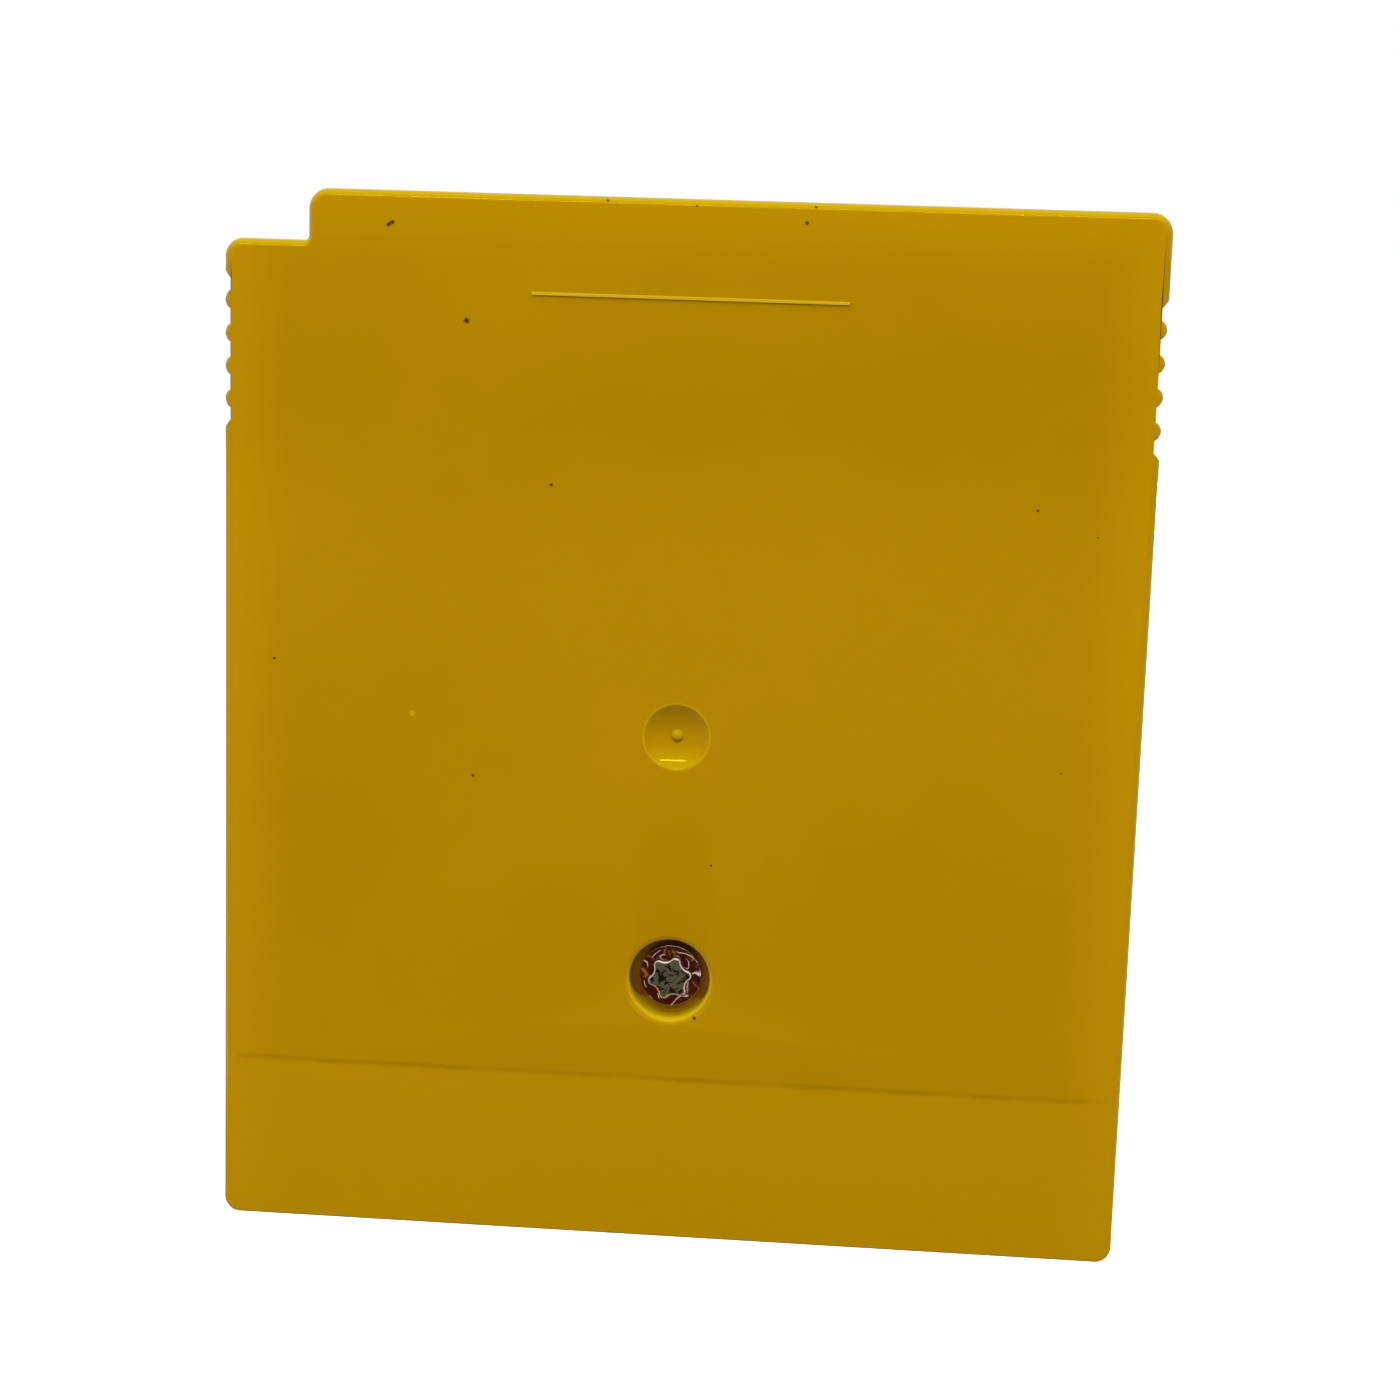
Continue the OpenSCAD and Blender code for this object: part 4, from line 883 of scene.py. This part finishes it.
# %% [markdown]
# ## The parts inside
#
# Nothing inside the case shows while it is shut, but the real part can be opened, and its board,
# cell and chips each have their own finish. They keep their CAD shapes, so here they only get
# their materials. No real surface is one even colour, so each starts from two close colours, a
# varied gloss and a fine relief, all from one noise of a real size.

# %% Helpers for the finishes inside
def wear_on(nodes, material):
    """Puts a material on CAD nodes and prints which nodes wear it."""
    for name in nodes:
        node = frame["nodes"][name]
        node.data.materials.clear()
        node.data.materials.append(material)
    print(material.name, "on", ", ".join(nodes))


def mottle(tree, shader, spot, first, second, size, rough, depth):
    """Mixes two colours by a noise of a size in mm, which also varies gloss and relief."""
    noise = add_node(tree, "TexNoise", {"Vector": spot, "Scale": 1 / size, "Detail": 4.0})
    spread = add_node(tree, "MapRange", {"Value": noise.outputs["Fac"], "From Min": 0.35, "From Max": 0.65})
    colour = add_node(tree, "Mix", {"Factor": spread.outputs[0], 6: linear(first), 7: linear(second)},
                      data_type="RGBA")
    gloss = add_node(tree, "MapRange", {"Value": noise.outputs["Fac"], "From Min": 0.3, "From Max": 0.7,
                                        "To Min": rough[0], "To Max": rough[1]})
    bumps = add_node(tree, "Bump", {"Height": noise.outputs["Fac"], "Strength": 0.5, "Distance": depth * MM})
    tree.links.new(colour.outputs[2], shader.inputs["Base Color"])
    tree.links.new(gloss.outputs[0], shader.inputs["Roughness"])
    tree.links.new(bumps.outputs[0], shader.inputs["Normal"])
    return colour.outputs[2], bumps.outputs[0]


DRESSED = ("rear_shell", "front_shell", "case_screw")
print("nodes still without a finish:", len([name for name in frame["nodes"] if name not in DRESSED]))

# %% [markdown]
# ## Circuit board
#
# The board is glass fibre and epoxy with copper tracks, under a printed green solder mask. To the
# eye the mask is a glassy dark green, paler where copper lies under it, and the cut edge is bare
# and straw-coloured. Tracks could be modelled, but they are 0.035 mm high, so they are drawn: they
# run up from the contacts at the same pitch, and a noise ends some of them.

# %% Green solder mask
CONTACT_PITCH = 1.5
TRACK_SIZE = 7
board_green, tree, shader, spot = start_material("Green solder mask over copper", IOR=1.5, Coat_Weight=0.3)
mask, _ = mottle(tree, shader, spot, "#1C5A30", "#236638", size=9.0, rough=(0.28, 0.4), depth=0.01)
board_x = add_node(tree, "SeparateXYZ", {0: spot}).outputs["X"]
column = add_node(tree, "Math", {0: board_x, 1: CONTACT_PITCH}, operation="PINGPONG")
is_copper = add_node(tree, "MapRange", {"Value": column.outputs[0], "From Min": 0.14, "From Max": 0.2,
                                        "To Min": 1.0, "To Max": 0.0})
run = add_node(tree, "TexNoise", {"Vector": spot, "Scale": 1 / TRACK_SIZE, "Detail": 0.0})
is_run = add_node(tree, "Math", {0: run.outputs["Fac"], 1: 0.46}, operation="GREATER_THAN")
copper = add_node(tree, "Math", {0: is_copper.outputs[0], 1: is_run.outputs[0]}, operation="MULTIPLY")
masked = add_node(tree, "Mix", {"Factor": copper.outputs[0], 6: mask, 7: linear("#3C8A4A")}, data_type="RGBA")
side = add_node(tree, "SeparateXYZ", {0: add_node(tree, "NewGeometry").outputs["Normal"]}).outputs["Y"]
board_facing = add_node(tree, "Math", {0: side}, operation="ABSOLUTE")
is_edge = add_node(tree, "Math", {0: board_facing.outputs[0], 1: 0.5}, operation="LESS_THAN")
board = add_node(tree, "Mix", {"Factor": is_edge.outputs[0], 6: masked.outputs[2], 7: linear("#B8A878")},
                 data_type="RGBA")
tree.links.new(board.outputs[2], shader.inputs["Base Color"])
wear_on(["circuit_board"], board_green)

# %% [markdown]
# ## Contacts
#
# The contacts are copper with nickel and a thin plate of hard gold, a warm, clean metal. Each time
# the cartridge goes into the console the springs draw scratches up and down the fingers, so a
# second relief is stretched along that way and laid over the first.

# %% Gold plate
contact_gold, tree, shader, spot = start_material("Hard gold plate", Metallic=1.0)
_, gold_relief = mottle(tree, shader, spot, "#E0B050", "#CC9C3C", size=1.5, rough=(0.22, 0.34), depth=0.004)
drawn_out = add_node(tree, "VectorMath", {0: spot, 1: (9.0, 1.0, 0.4)}, operation="MULTIPLY")
scratches = add_node(tree, "TexNoise", {"Vector": drawn_out.outputs[0], "Scale": 2.0, "Detail": 2.0})
scratch_relief = add_node(tree, "Bump", {"Height": scratches.outputs["Fac"], "Strength": 0.4,
                                         "Distance": 0.006 * MM, "Normal": gold_relief})
tree.links.new(scratch_relief.outputs[0], shader.inputs["Normal"])
wear_on(["edge_contacts"], contact_gold)

# %% [markdown]
# ## Chips and their leads
#
# Chips are moulded in black epoxy filled with glass powder, in a mould eroded by sparks: the skin
# is matt and as fine as sand. Their leads are a copper alloy dipped in tin, a soft, greyish metal
# that has lost its shine. The plated ends of the small parts have the same tin.

# %% Chip resin and tin
chip_resin, tree, shader, spot = start_material("Black epoxy moulding resin", IOR=1.55)
mottle(tree, shader, spot, "#1A1A1C", "#242426", size=0.12, rough=(0.5, 0.65), depth=0.012)
wear_on(["program_chip", "save_memory_chip", "bank_chip", "supply_monitor_chip"], chip_resin)

tinned_leads, tree, shader, spot = start_material("Tinned copper alloy", Metallic=1.0)
mottle(tree, shader, spot, "#B8BABC", "#A2A4A6", size=0.5, rough=(0.25, 0.42), depth=0.006)
wear_on(["program_chip_leads", "save_memory_leads", "bank_chip_leads", "supply_monitor_leads",
         "capacitor_end_caps", "resistor_end_caps"], tinned_leads)

# %% [markdown]
# ## Backup cell
#
# The cell's can and cap are pressed from nickel-plated steel that was rolled, which leaves a fine
# grain in one direction and stretches its highlights. The grain is a noise squeezed across it,
# laid over the plate's own relief, and a little anisotropy does the rest. The gasket between them
# is moulded polypropylene, dark and waxy.

# %% Cell steel and gasket
cell_steel, tree, shader, spot = start_material("Brushed nickel plate on steel", Metallic=1.0, Anisotropic=0.4)
_, nickel_relief = mottle(tree, shader, spot, "#C4C2BC", "#B2B0AA", size=6.0, rough=(0.24, 0.36), depth=0.004)
grain_way = add_node(tree, "VectorMath", {0: spot, 1: (0.3, 1.0, 12.0)}, operation="MULTIPLY")
grain = add_node(tree, "TexNoise", {"Vector": grain_way.outputs[0], "Scale": 1.5, "Detail": 3.0})
grain_relief = add_node(tree, "Bump", {"Height": grain.outputs["Fac"], "Strength": 0.3,
                                       "Distance": 0.005 * MM, "Normal": nickel_relief})
tree.links.new(grain_relief.outputs[0], shader.inputs["Normal"])
wear_on(["cell_can", "cell_cap", "cell_tab_positive", "cell_tab_negative"], cell_steel)

gasket_plastic, tree, shader, spot = start_material("Moulded polypropylene", IOR=1.49)
mottle(tree, shader, spot, "#20242E", "#282C36", size=0.8, rough=(0.4, 0.5), depth=0.006)
wear_on(["cell_gasket"], gasket_plastic)

# %% [markdown]
# ## Solder and the small ceramic parts
#
# Solder of tin and lead sets bright and slightly rippled. The capacitors are bare fired ceramic,
# tan and dull like a flowerpot, and the resistors wear a shiny black glaze over theirs. None needs
# more than the shared pattern, each with its own colours, size and gloss.

# %% Solder, ceramic and glaze
solder, tree, shader, spot = start_material("Tin and lead solder", Metallic=1.0)
mottle(tree, shader, spot, "#B4B6B8", "#9A9C9E", size=0.9, rough=(0.16, 0.34), depth=0.02)
wear_on(["tab_solder_joints"], solder)

capacitor_ceramic, tree, shader, spot = start_material("Fired ceramic", IOR=1.6)
mottle(tree, shader, spot, "#A08058", "#8E6E4A", size=0.3, rough=(0.35, 0.5), depth=0.006)
wear_on(["capacitor_bodies"], capacitor_ceramic)

resistor_glaze, tree, shader, spot = start_material("Black glaze over ceramic", IOR=1.6)
mottle(tree, shader, spot, "#17171A", "#202024", size=0.5, rough=(0.2, 0.32), depth=0.004)
wear_on(["resistor_bodies"], resistor_glaze)
